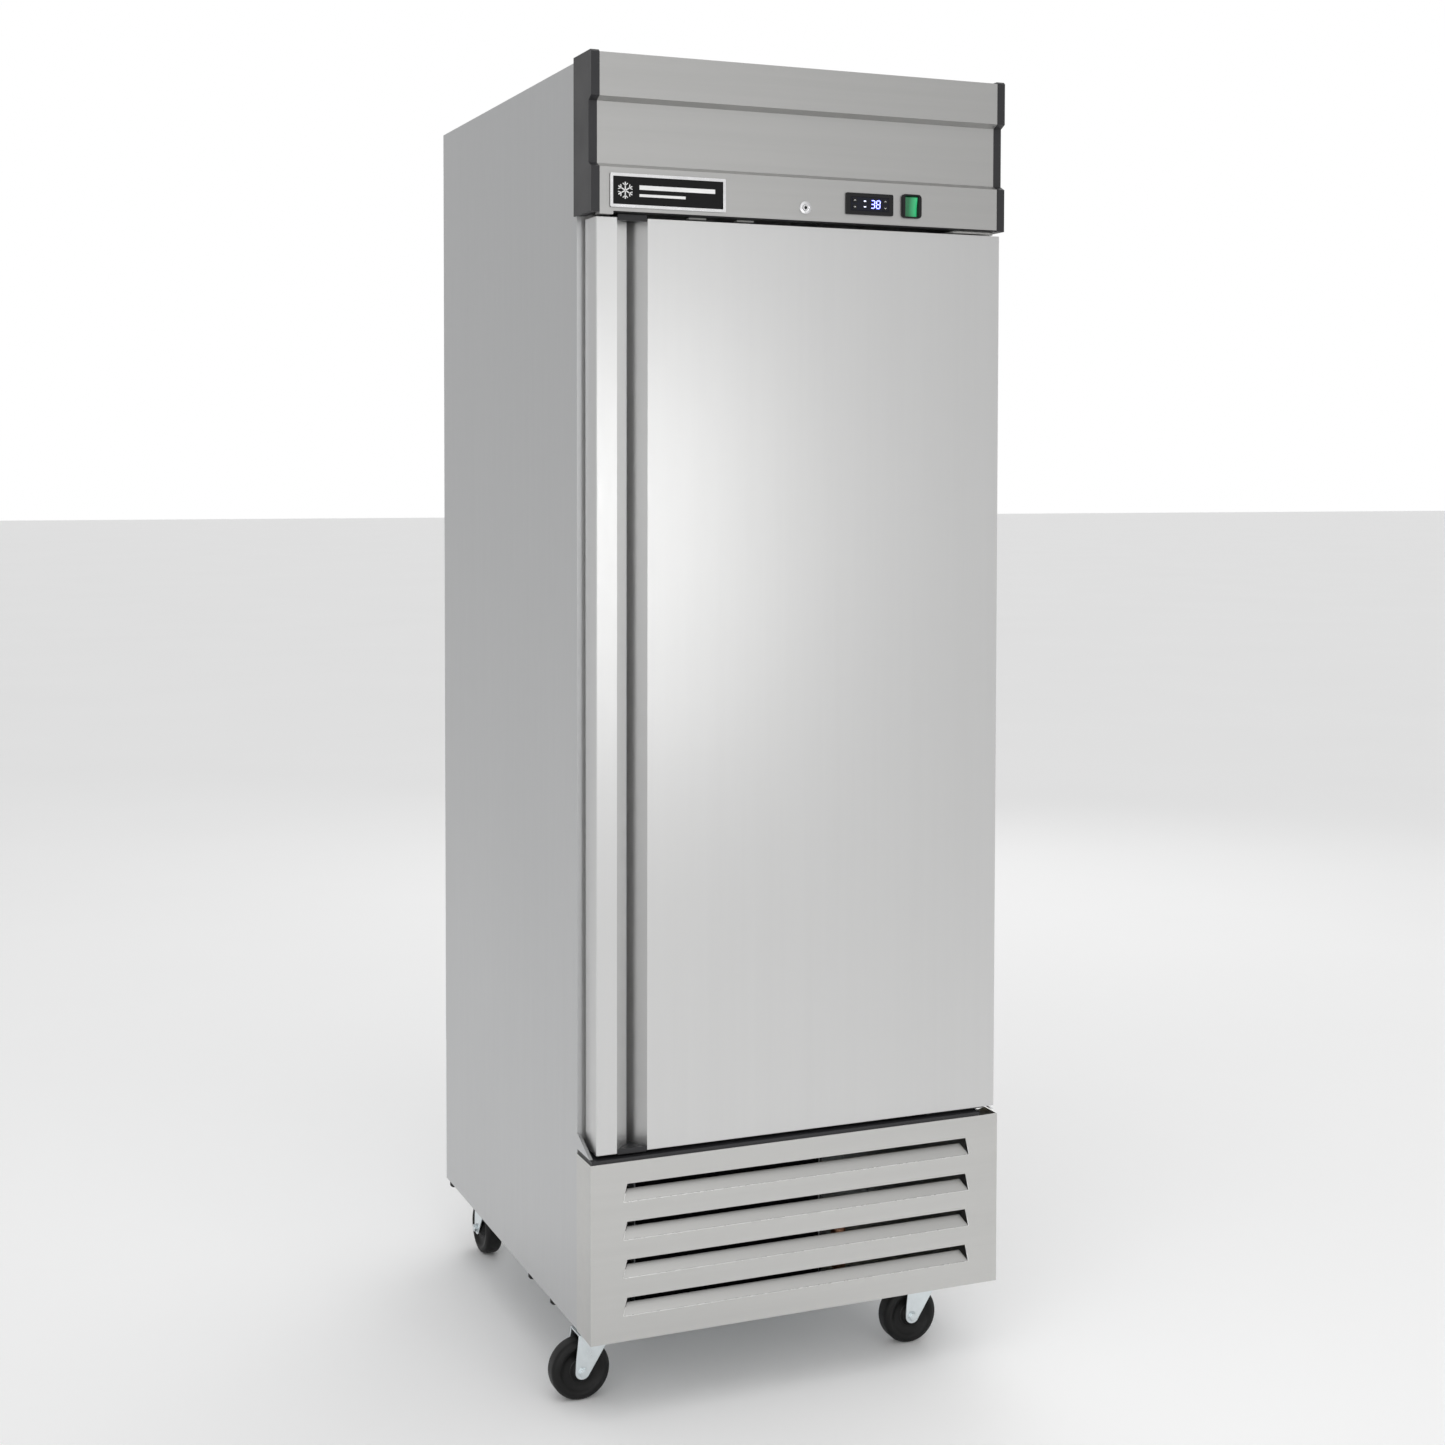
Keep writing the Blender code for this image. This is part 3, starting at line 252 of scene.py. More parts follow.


# The header's steel is a darker copy of the door's steel: painted shade for its dimmer look under the room's
# light.
SHADED_HEADER_STEEL = (0.470, 0.468, 0.460)
M = {
    "door_steel": brushed_steel("door_steel", (0.645, 0.645, 0.642), 0.33, "Z", 0.008, 0.015),
    "header_steel": brushed_steel("header_steel", SHADED_HEADER_STEEL, 0.40, "X", 0.02, 0.02),
    "grille_steel": brushed_steel("grille_steel", (0.58, 0.578, 0.565), 0.38, "X", 0.02, 0.02),
    "side_steel": brushed_steel("side_steel", (0.56, 0.565, 0.57), 0.42, "Z", 0.008, 0.015),
    "front_steel": brushed_steel("front_steel", (0.62, 0.62, 0.615), 0.38, "Z", 0.02, 0.02),
    # brighter and smoother than the grille's steel: a painted highlight for the louvers' bends
    "crease_highlight": bright_metal("crease_highlight", (0.80, 0.80, 0.79), 0.22),
    "galvanised": galvanised("galvanised", (0.60, 0.62, 0.63), 0.38),
    "white_liner": moulded("white_liner", (0.80, 0.81, 0.81), 0.32, 250, 0.05, 0.2, 0.02),
    "foam": moulded("foam", (0.80, 0.70, 0.44), 0.9, 350, 0.5),
    "charcoal": moulded("charcoal", (0.017, 0.017, 0.019), 0.42, 900, 0.12, specular=0.45),
    "black": moulded("black", (0.006, 0.006, 0.0065), 0.40, 900, 0.10, specular=0.3),
    "gasket": moulded("gasket", (0.20, 0.20, 0.21), 0.62, 500, 0.10),
    "badge": moulded("badge", (0.003, 0.003, 0.0035), 0.30, 500, 0.02, specular=0.2),
    "glass": moulded("display_glass", (0.004, 0.005, 0.012), 0.12, 300, 0.0, specular=0.3),
    "rocker": rocker_green("rocker"),
    "chrome": bright_metal("chrome", (0.80, 0.80, 0.81), 0.12),
    "pale_plastic": moulded("pale_plastic", (0.60, 0.60, 0.58), 0.42, 600, 0.08, 0.1, 0.04),
    "shelf": moulded("shelf_coating", (0.78, 0.79, 0.79), 0.30, 300, 0.04, 0.5, 0.03),
    "zinc": bright_metal("zinc", (0.72, 0.77, 0.79), 0.26),
    "tyre": moulded("tyre", (0.0065, 0.0065, 0.0065), 0.46, 420, 0.16, specular=0.25),
    "hub": moulded("hub", (0.012, 0.012, 0.0125), 0.40, 500, 0.10, specular=0.35),
    "aluminium": bright_metal("aluminium", (0.74, 0.75, 0.76), 0.32),
    "copper": bright_metal("copper", (0.72, 0.38, 0.24), 0.26, 0.15),
    # also put on the condenser's fins and tubes as painted shade
    "compressor": moulded("compressor_paint_and_condenser_shade", (0.016, 0.016, 0.018), 0.30, 200, 0.05, 0.4),
    "lamp": glowing("lamp_cover", (1.0, 0.98, 0.93), 0.35, (0.85, 0.86, 0.86)),
    "white_mark": moulded("white_mark", (0.80, 0.80, 0.80), 0.35, 500, 0.02),
    "led": glowing("led", (0.20, 0.22, 1.0), 6.0),
    "indicator": glowing("indicator", (0.75, 0.80, 1.0), 2.5),
    # painted shade for the hollows of the keyway and of the screws' cross recesses
    "painted_hole_shade": moulded("painted_hole_shade", (0.004, 0.004, 0.004), 0.8, 300, 0.05),
}


# Shapes

def mesh_object(name, bm):
    mesh = bpy.data.meshes.new(name)
    bmesh.ops.recalc_face_normals(bm, faces=bm.faces)
    bm.to_mesh(mesh)
    bm.free()
    obj = bpy.data.objects.new(name, mesh)
    bpy.context.scene.collection.objects.link(obj)
    return obj


def smooth(obj, angle=32):
    obj.data.shade_smooth()
    obj.data.set_sharp_from_angle(angle=math.radians(angle))
    return obj


def bevel(obj, width, segments=2, angle=30):
    modifier = obj.modifiers.new("edges", "BEVEL")
    modifier.width = width
    modifier.segments = segments
    modifier.limit_method = "ANGLE"
    modifier.angle_limit = math.radians(angle)
    modifier.harden_normals = False
    modifier.use_clamp_overlap = True
    return obj


def add_box(bm, low, high):
    corners = [(x, y, z) for x in (low[0], high[0]) for y in (low[1], high[1]) for z in (low[2], high[2])]
    v = [bm.verts.new(c) for c in corners]
    for face in ((0, 1, 3, 2), (4, 6, 7, 5), (0, 4, 5, 1), (2, 3, 7, 6), (0, 2, 6, 4), (1, 5, 7, 3)):
        bm.faces.new([v[i] for i in face])
    return v


def add_prism(bm, outline, low, high, place=Matrix()):
    """An outline in x and y, extruded from low to high along z, then placed."""
    n = len(outline)
    v = [bm.verts.new(place @ Vector((x, y, z))) for z in (low, high) for x, y in outline]
    bm.faces.new(v[:n][::-1])
    bm.faces.new(v[n:])
    for i in range(n):
        j = (i + 1) % n
        bm.faces.new((v[i], v[j], v[n + j], v[n + i]))
    return v


def add_lathe(bm, profile, place=Matrix(), segments=48, closed=False):
    """A profile of (radius, height) turned about z. A closed profile makes a ring."""
    rings = []
    for k in range(segments):
        a = 2 * math.pi * k / segments
        rings.append([bm.verts.new(place @ Vector((r * math.cos(a), r * math.sin(a), h)))
                      for r, h in profile])
    n = len(profile)
    for k in range(segments):
        first, second = rings[k], rings[(k + 1) % segments]
        for i in range(n if closed else n - 1):
            j = (i + 1) % n
            bm.faces.new((first[i], second[i], second[j], first[j]))
    if not closed:
        bm.faces.new([ring[0] for ring in rings])
        bm.faces.new([ring[-1] for ring in rings][::-1])


def arc(centre, radius, start, end, steps):
    """Points on an arc between two angles in degrees."""
    turn = [math.radians(start + (end - start) * k / steps) for k in range(steps + 1)]
    return [(centre[0] + radius * math.cos(a), centre[1] + radius * math.sin(a)) for a in turn]


def hexagon(centre, radius):
    turn = [math.pi / 3 * k for k in range(6)]
    return [(centre[0] + radius * math.cos(a), centre[1] + radius * math.sin(a)) for a in turn]


def round_rect(centre, size, radius, steps=5):
    """A rectangle with rounded corners, about its centre."""
    points = []
    for quarter, (sx, sy) in enumerate([(1, 1), (-1, 1), (-1, -1), (1, -1)]):
        middle = (centre[0] + sx * (size[0] / 2 - radius), centre[1] + sy * (size[1] / 2 - radius))
        points += arc(middle, radius, 90 * quarter, 90 * quarter + 90, steps)
    return points


def wires(name, runs, radius, sides=3):
    """Round bars along lists of points, all in one piece. A run ends in True where it closes."""
    curve = bpy.data.curves.new(name, "CURVE")
    curve.dimensions = "3D"
    curve.bevel_depth = radius
    curve.bevel_resolution = sides
    curve.use_fill_caps = True
    for points, cyclic in runs:
        spline = curve.splines.new("POLY")
        spline.points.add(len(points) - 1)
        for point, co in zip(spline.points, points):
            point.co = (*co, 1)
        spline.use_cyclic_u = cyclic
    obj = bpy.data.objects.new(name, curve)
    bpy.context.scene.collection.objects.link(obj)
    return obj


def finish_piece(obj, body, material, replaces=()):
    obj.data.materials.clear()
    obj.data.materials.append(M[material])
    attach(obj, body)
    if replaces:
        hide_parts(*replaces)
    return obj


def facing(place, axis):
    """A matrix that puts local z along an axis, at a place."""
    turn = Vector((0, 0, 1)).rotation_difference(Vector(axis)).to_matrix().to_4x4()
    return Matrix.Translation(place) @ turn


def middle(node):
    low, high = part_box(node)
    return (low + high) / 2


# CAD nodes that keep their shape

KEPT = {
    "door_steel": ["door_skin"],
    "header_steel": ["header_panel"],
    "grille_steel": ["front_grille"],
    "side_steel": ["cabinet_side_left", "cabinet_side_right"],
    "front_steel": ["front_frame"],
    "galvanised": ["cabinet_back", "cabinet_top", "base_frame", "rear_cover"],
    "white_liner": ["inner_liner", "door_liner", "evaporator_cover"],
    "foam": ["cabinet_insulation", "door_foam"],
    "charcoal": ["header_end_cap_left", "header_end_cap_right", "threshold_trim", "handle_cap_top",
                 "handle_cap_bottom"],
    "black": ["header_rail", "controller_housing", "switch_bezel", "bottom_hinge_bracket", "power_inlet",
              "condensate_pan"],
    "gasket": ["door_gasket"],
    "badge": ["badge_plate"],
    "glass": ["controller_lens"],
    "rocker": ["switch_rocker"],
    "chrome": ["lock_cylinder", "lock_plug"],
    "pale_plastic": ["top_hinge_bracket", "door_switch_light", "door_switch_fan", "door_top_bush"],
    "zinc": ["door_closer"] + ["caster_plate_" + place for place in PLACES],
    "aluminium": ["evaporator_fan_motor", "condenser_fan_motor"],
    "lamp": ["interior_lamp"],
}
EDGE_WIDTH = {
    "door_skin": 0.0006, "header_panel": 0.0005, "front_grille": 0.0004, "cabinet_side_left": 0.0005,
    "cabinet_side_right": 0.0005, "header_end_cap_left": 0.0020, "header_end_cap_right": 0.0020,
    "inner_liner": 0.0005, "door_liner": 0.0005, "controller_lens": 0.0003, "switch_rocker": 0.0006,
    "header_rail": 0.0003, "front_frame": 0.0003, "badge_plate": 0.0005,
}


def dress_cad():
    for material, names in KEPT.items():
        for name in names:
            obj = nodes[name]
            obj.data.materials.clear()
            obj.data.materials.append(M[material])
            bevel(obj, EDGE_WIDTH.get(name, 0.0008))


# Casters

def caster(place):
    swivel = Vector(joints["swivel_" + place]["pos_m"])
    axle = Vector(joints["roll_" + place]["pos_m"])
    heading = Vector((axle.x - swivel.x, axle.y - swivel.y, 0)).normalized()
    trail = (axle - swivel).xy.length
    turn = Matrix.Rotation(math.atan2(heading.y, heading.x), 4, "Z")
    base = Matrix.Translation((swivel.x, swivel.y, 0)) @ turn
    wheel_fork(place, base, trail, axle.z, swivel.z)
    wheel(place, base @ Matrix.Translation((trail, 0, axle.z)) @ Matrix.Rotation(math.pi / 2, 4, "X"), axle.z)
    plate_bolts(place)


def wheel(place, at, radius):
    half = 0.016
    side = [(0.0046, half), (0.0115, half), (0.0135, half - 0.0010), (0.0155, half - 0.0045)]
    side += arc((0.0225, half + 0.0120), 0.0180, 246, 294, 6)
    side += [(0.0325, half - 0.0030), (0.0345, half - 0.0008)]
    side += arc((0.0385, half - 0.0035), 0.0035, 110, 60, 4)
    shoulder = arc((radius - 0.0085, half - 0.0085), 0.0085, 62, 4, 8)
    profile = side + shoulder + [(radius, 0.0030)]
    profile += [(r, -h) for r, h in reversed(profile)]
    bm = bmesh.new()
    add_lathe(bm, profile, at, 96, closed=True)
    obj = smooth(mesh_object("tyre_" + place, bm), 40)
    finish_piece(obj, "wheel_" + place, "tyre", ["caster_wheel_" + place])
    bm = bmesh.new()
    for sign in (-1, 1):
        bead = [(0.0175, half - 0.0050), (0.0182, half - 0.0044), (0.0190, half - 0.0050),
                (0.0182, half - 0.0062)]
        add_lathe(bm, [(r, sign * h) for r, h in bead], at, 64, closed=True)
    obj = smooth(mesh_object("wheel_mould_ring_" + place, bm), 50)
    finish_piece(obj, "wheel_" + place, "hub")


def wheel_fork(place, base, trail, axle_z, crown_z):
    sheet, gap, end = 0.0025, 0.0185, 0.0120
    top = crown_z - 0.0110
    outline = [(-0.0080, top), (-0.0060, top - 0.0100), (0.0070, axle_z + 0.0360)]
    outline += arc((trail, axle_z), end, 205, 360, 18)
    outline += [(trail + end - 0.0010, axle_z + 0.020), (0.0510, top - 0.008), (0.0500, top)]
    bm = bmesh.new()
    for side in (-1, 1):
        low = min(side * gap, side * (gap + sheet))
        add_prism(bm, outline, low, low + sheet, base @ UPRIGHT)
    yoke = round_rect((0.0180, 0), (0.0640, 0.0420), 0.006)
    add_prism(bm, yoke, top - 0.0030, top, base)
    legs = bevel(mesh_object("fork_legs_" + place, bm), 0.0008, 2)
    body = "fork_" + place
    finish_piece(legs, body, "zinc", ["caster_fork_" + place])

    bm = bmesh.new()
    cup = [(0.0066, crown_z), (0.0262, crown_z)] + arc((0.0255, crown_z - 0.0030), 0.0030, 80, 0, 4)
    cup += [(0.0285, crown_z - 0.0065), (0.0240, crown_z - 0.0105), (0.0066, crown_z - 0.0105)]
    add_lathe(bm, cup, base, 64, closed=True)
    obj = smooth(mesh_object("fork_race_" + place, bm), 35)
    finish_piece(obj, body, "zinc")

    bm = bmesh.new()
    across = base @ Matrix.Translation((trail, 0, axle_z)) @ Matrix.Rotation(math.pi / 2, 4, "X")
    add_lathe(bm, [(0.0040, -0.0270), (0.0040, 0.0270)], across, 32)
    for sign in (-1, 1):
        washer = [(0.0082, sign * 0.0211), (0.0082, sign * 0.0222)]
        add_lathe(bm, washer, across, 32)
        low = min(sign * 0.0222, sign * 0.0262)
        add_prism(bm, hexagon((0, 0), 0.0068), low, low + 0.0040, across)
    obj = bevel(smooth(mesh_object("axle_bolt_" + place, bm)), 0.0004)
    finish_piece(obj, body, "zinc")


def plate_bolts(place):
    centre = middle("caster_plate_" + place)
    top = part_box("caster_plate_" + place)[1].z
    bm = bmesh.new()
    for sx in (-1, 1):
        for sy in (-1, 1):
            head = hexagon((centre.x + sx * 0.0235, centre.y + sy * 0.0335), 0.0060)
            add_prism(bm, head, top - 0.0032 - 0.0045, top - 0.0034)
    obj = bevel(mesh_object("plate_bolts_" + place, bm), 0.0005)
    finish_piece(obj, "root", "zinc")


# Header details

def badge():
    """A plain dark plate in a bright frame, with a generic snow crystal and two plain bars."""
    low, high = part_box("badge_plate")
    y = low.y
    width, height = high.x - low.x, high.z - low.z
    centre = middle("badge_plate")
    bm = bmesh.new()
    outer = round_rect((centre.x, centre.z), (width, height), 0.0018)
    inner = round_rect((centre.x, centre.z), (width - 0.0085, height - 0.0090), 0.0010)
    ring(bm, outer, inner, y - 0.0009, y + 0.0003)
    finish_piece(bevel(mesh_object("badge_frame", bm), 0.0003), "root", "chrome")

    bm = bmesh.new()
    cx, cz, arm = low.x + 0.0235, centre.z, 0.0125
    for k in range(6):
        turn = Matrix.Translation((cx, y - 0.0003, cz)) @ Matrix.Rotation(math.pi / 3 * k, 4, "Y")
        bar(bm, turn, (0, 0), (0, arm), 0.0016)
        for side in (-1, 1):
            bar(bm, turn, (0, arm * 0.58), (side * 0.0040, arm * 0.86), 0.0012)
    for z0, z1, x1 in ((0.0020, 0.0085, 0.168), (-0.0085, -0.0045, 0.120)):
        add_box(bm, (low.x + 0.046, y - 0.0005, centre.z + z0), (low.x + x1, y + 0.0002, centre.z + z1))
    finish_piece(mesh_object("badge_symbol", bm), "root", "white_mark")


def ring(bm, outer, inner, front, back):
    """A frame between two outlines in x and z."""
    n = len(outer)
    sets = [[bm.verts.new((x, y, z)) for x, z in line] for y in (front, back) for line in (outer, inner)]
    for i in range(n):
        j = (i + 1) % n
        for a, b in ((0, 1), (1, 3), (3, 2), (2, 0)):
            bm.faces.new((sets[a][i], sets[a][j], sets[b][j], sets[b][i]))


def bar(bm, place, start, end, width):
    """A thin flat bar in x and z between two points."""
    a, b = Vector(start), Vector(end)
    along = (b - a).normalized()
    across = Vector((-along.y, along.x)) * width / 2
    corners = [a - across, a + across, b + across, b - across]
    v = [bm.verts.new(place @ Vector((c.x, y, c.y))) for y in (-0.0003, 0.0004) for c in corners]
    for face in BAR_FACES:
        bm.faces.new([v[i] for i in face])


def controller():
    """The display's digits and indicators, the four keys with their marks, and the raised rim."""
    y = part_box("controller_lens")[0].y - 0.0002
    centre = middle("controller_lens")
    bm = bmesh.new()
    tall, wide, bar_w = 0.0118, 0.0062, 0.0013
    spots = {
        "a": ((0.12, 1.0), (0.88, 1.0)), "g": ((0.12, 0.5), (0.88, 0.5)), "d": ((0.12, 0.0), (0.88, 0.0)),
        "b": ((1.0, 0.56), (1.0, 0.94)), "c": ((1.0, 0.06), (1.0, 0.44)),
        "f": ((0.0, 0.56), (0.0, 0.94)), "e": ((0.0, 0.06), (0.0, 0.44)),
    }
    for digit, left in (("3", centre.x + 0.0015), ("8", centre.x + 0.0108)):
        for name in SEGMENTS[digit]:
            start, end = spots[name]
            slant = 0.08 * tall
            points = [(left + u * wide + v * slant, centre.z - tall / 2 + v * tall) for u, v in (start, end)]
            bar(bm, Matrix.Translation((0, y, 0)), points[0], points[1], bar_w)
    finish_piece(mesh_object("display_digits", bm), "root", "led")

    bm = bmesh.new()
    for bottom, top in ((0.0035, 0.0052), (-0.0050, -0.0036)):
        add_box(bm, (centre.x - 0.0105, y - 0.0003, centre.z + bottom),
                (centre.x - 0.0070, y + 0.0003, centre.z + top))
    finish_piece(mesh_object("display_indicators", bm), "root", "indicator")

    keys = [(centre.x + side * KEY_OFFSET[0], centre.z + row * KEY_OFFSET[1], row)
            for side in (-1, 1) for row in (-1, 1)]
    bm = bmesh.new()
    for x, z, row in keys:
        outline = round_rect((x, z), (0.0075, 0.0072), 0.0014)
        add_prism(bm, outline, y - 0.0008, y + 0.0006, UPRIGHT)
    finish_piece(bevel(mesh_object("controller_keys", bm), 0.0004), "root", "black")

    bm = bmesh.new()
    half, place = 0.0016, Matrix.Translation((0, y - 0.0008, 0))
    for x, z, row in keys:
        tip = half * row / 2
        bar(bm, place, (x - half, z - tip), (x, z + tip), 0.0005)
        bar(bm, place, (x, z + tip), (x + half, z - tip), 0.0005)
    finish_piece(mesh_object("key_marks", bm), "root", "white_mark")

    bezel_low, bezel_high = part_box("controller_housing")
    bm = bmesh.new()
    outer = round_rect((centre.x, centre.z), (bezel_high.x - bezel_low.x, bezel_high.z - bezel_low.z), 0.0026)
    inner = round_rect((centre.x, centre.z), (0.0668, 0.0218), 0.0016)
    ring(bm, outer, inner, bezel_low.y - 0.0007, bezel_low.y + 0.0006)
    finish_piece(bevel(mesh_object("controller_bezel_rim", bm), 0.0005), "root", "black")


def rocker_marks():
    low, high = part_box("switch_bezel")
    centre = middle("switch_bezel")
    bm = bmesh.new()
    outer = round_rect((centre.x, centre.z), (high.x - low.x - 0.003, high.z - low.z - 0.003), 0.0055)
    inner = round_rect((centre.x, centre.z), (0.0236, 0.0328), 0.0010)
    ring(bm, outer, inner, low.y - 0.0011, low.y + 0.0006)
    finish_piece(bevel(mesh_object("switch_boot_rim", bm), 0.0006, 3), "root", "black")


def lock_face():
    centre = middle("lock_cylinder")
    bm = bmesh.new()
    at = facing((centre.x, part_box("lock_cylinder")[0].y, centre.z), (0, -1, 0))
    profile = [(0.0052, -0.0005), (0.0052, 0.0004), (0.0060, 0.0009), (0.0092, 0.0006), (0.0100, -0.0006)]
    add_lathe(bm, profile, at, 64, closed=True)
    obj = smooth(mesh_object("lock_ring", bm), 30)
    finish_piece(obj, "root", "chrome")
    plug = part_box("lock_plug")[0]
    # A near-black disc on the plug's face: painted shade for the keyway's hollow.
    bm = bmesh.new()
    add_lathe(bm, [(0.0024, -0.0001), (0.0024, 0.0003)], facing((centre.x, plug.y, centre.z), (0, -1, 0)), 32)
    finish_piece(mesh_object("lock_keyway", bm), "lock", "painted_hole_shade")


# Storage compartment

def shelf(name):
    low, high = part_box(name)
    z = high.z
    rod, wire = 0.0031, 0.0019
    x0, x1, y0, y1 = low.x + rod, high.x - rod, low.y + rod, high.y - rod
    frame_z = z - wire - rod - 0.0002
    corners = round_rect(((x0 + x1) / 2, (y0 + y1) / 2), (x1 - x0, y1 - y0), 0.014)
    runs = [([(x, y, frame_z) for x, y in corners], True)]
    for share in (0.26, 0.5, 0.74):
        y = y0 + share * (y1 - y0)
        runs.append(([(x0, y, frame_z), (x1, y, frame_z)], False))
    obj = wires(name + "_frame", runs, rod, 4)
    finish_piece(obj, "root", "shelf", [name])
    runs = []
    for i in range(SHELF_WIRES):
        x = x0 + (x1 - x0) * (i + 0.5) / SHELF_WIRES
        line = [(x, y0 - rod * 0.6, z - 0.010), (x, y0 - rod, z - 0.004), (x, y0, z - wire),
                (x, y1, z - wire)]
        runs.append((line, False))
    obj = wires(name + "_wires", runs, wire, 3)
    finish_piece(obj, "root", "shelf")
    clips(name, low.z)


def clips(name, z):
    bm = bmesh.new()
    for side in (-1, 1):
        for d in PILASTER_Y:
            wall = side * PILASTER_X
            x = sorted((wall, wall - side * 0.0120))
            add_box(bm, (x[0], d + 0.004, z - 0.0035), (x[1], d + 0.021, z - 0.0004))
            x = sorted((wall, wall - side * 0.0016))
            add_box(bm, (x[0], d + 0.004, z - 0.030), (x[1], d + 0.021, z + 0.010))
    finish_piece(bevel(mesh_object(name + "_clips", bm), 0.0004), "root", "zinc")


def pilaster_strips():
    """Slotted steel strips that face the liner's four shelf posts."""
    low, high = PILASTER_Z
    pitch = (high - low) / PILASTER_SLOTS
    for side, side_name in ((-1, "left"), (1, "right")):
        for y, row_name in zip(PILASTER_Y, ("front", "rear")):
            bm = bmesh.new()
            face = side * PILASTER_X
            ys = [y + 0.003, y + 0.0095, y + 0.0155, y + 0.022]
            zs = [low]
            for k in range(PILASTER_SLOTS):
                zs += [low + pitch * (k + 0.32), low + pitch * (k + 0.68)]
            zs.append(high)
            grid = [[bm.verts.new((face, yy, zz)) for zz in zs] for yy in ys]
            for i in range(3):
                for j in range(len(zs) - 1):
                    if i == 1 and j % 2 == 1:
                        continue
                    bm.faces.new((grid[i][j], grid[i + 1][j], grid[i + 1][j + 1], grid[i][j + 1]))
            obj = mesh_object(f"pilaster_strip_{row_name}_{side_name}", bm)
            thick = obj.modifiers.new("sheet", "SOLIDIFY")
            thick.thickness = 0.0008
            thick.offset = 0
            finish_piece(obj, "root", "zinc")


def fan(name, node, body, axis, radius, hub, deep, blades):
    """A fan with curved, twisted blades, in place of the plain one."""
    centre = Vector(joints[body + "_spin"]["pos_m"])
    place = facing(centre, axis)
    bm = bmesh.new()
    hub_profile = [(0.0045, deep / 2)] + arc((hub - 0.003, deep / 2 - 0.003), 0.003, 90, 0, 4)
    hub_profile += [(hub, -deep / 2), (0.0045, -deep / 2)]
    add_lathe(bm, hub_profile, place, 48, closed=True)
    across, along = 10, 8
    for k in range(blades):
        start = 2 * math.pi * k / blades
        grid = []
        for i in range(along + 1):
            u = i / along
            r = hub * 0.9 + (radius - hub * 0.9) * u
            sweep = 0.25 * u * u
            width = math.radians(34 + 16 * u)
            row = []
            for j in range(across + 1):
                v = j / across - 0.5
                a = start + sweep + v * width
                h = -v * deep * (0.95 - 0.25 * u) + 0.10 * deep * math.cos(math.pi * v)
                edge = 1 - 0.035 * (2 * v) ** 4 * u
                row.append(bm.verts.new(place @ Vector((r * edge * math.cos(a), r * edge * math.sin(a), h))))
            grid.append(row)
        for i in range(along):
            for j in range(across):
                bm.faces.new((grid[i][j], grid[i + 1][j], grid[i + 1][j + 1], grid[i][j + 1]))
    obj = smooth(mesh_object(name, bm), 60)
    thick = obj.modifiers.new("sheet", "SOLIDIFY")
    thick.thickness = 0.0014
    thick.offset = 0
    finish_piece(obj, body, "black", [node])


def guard(name, centre, axis, radius, rings=6, spokes=6):
    """A round wire guard across a fan's mouth."""
    place = facing(centre, axis)
    runs = []
    for k in range(rings):
        r = radius * (0.22 + 0.78 * (k + 1) / rings)
        points = [place @ Vector((r * math.cos(a), r * math.sin(a), 0))
                  for a in (2 * math.pi * i / 48 for i in range(48))]
        runs.append((points, True))
    for k in range(spokes):
        a = 2 * math.pi * k / spokes
        ends = [place @ Vector((r * math.cos(a), r * math.sin(a), -0.0022))
                for r in (radius * 0.2, radius * 1.04)]
        runs.append((ends, False))
    finish_piece(wires(name, runs, 0.0011, 2), "root", "shelf")


def fin_pack(name, node, low, high, fins, tubes, fin_tube_materials=("aluminium", "copper")):
    """Thin aluminium fins on copper tubes whose bends show at both ends."""
    bm = bmesh.new()
    pitch = (high.x - low.x - 0.02) / fins
    for i in range(fins + 1):
        x = low.x + 0.010 + i * pitch
        add_box(bm, (x - 0.00025, low.y, low.z), (x + 0.00025, high.y, high.z))
    replaced = [node] if node else []
    finish_piece(mesh_object(name + "_fins", bm), "root", fin_tube_materials[0], replaced)
    bm = bmesh.new()
    for x in (low.x + 0.008, high.x - 0.008):
        add_box(bm, (x - 0.0008, low.y, low.z), (x + 0.0008, high.y, high.z))
    finish_piece(mesh_object(name + "_end_plates", bm), "root", "galvanised")
    runs = []
    step = (high.z - low.z) / tubes
    for row in (0.3, 0.7):
        y = low.y + row * (high.y - low.y)
        points = []
        for k in range(tubes):
            z = low.z + (k + 0.5) * step
            ends = [low.x + 0.006, high.x - 0.006]
            if k % 2:
                ends.reverse()
            points += [(ends[0], y, z), (ends[1], y, z)]
            if k < tubes - 1:
                side = 1 if ends[1] > ends[0] else -1
                bend = arc((0, z + step / 2), step / 2, -90, 90, 6)
                points += [(ends[1] + side * min(0.0055, bx), y, bz) for bx, bz in bend[1:-1]]
        runs.append((points, False))
    finish_piece(wires(name + "_tubes", runs, 0.0038, 3), "root", fin_tube_materials[1])


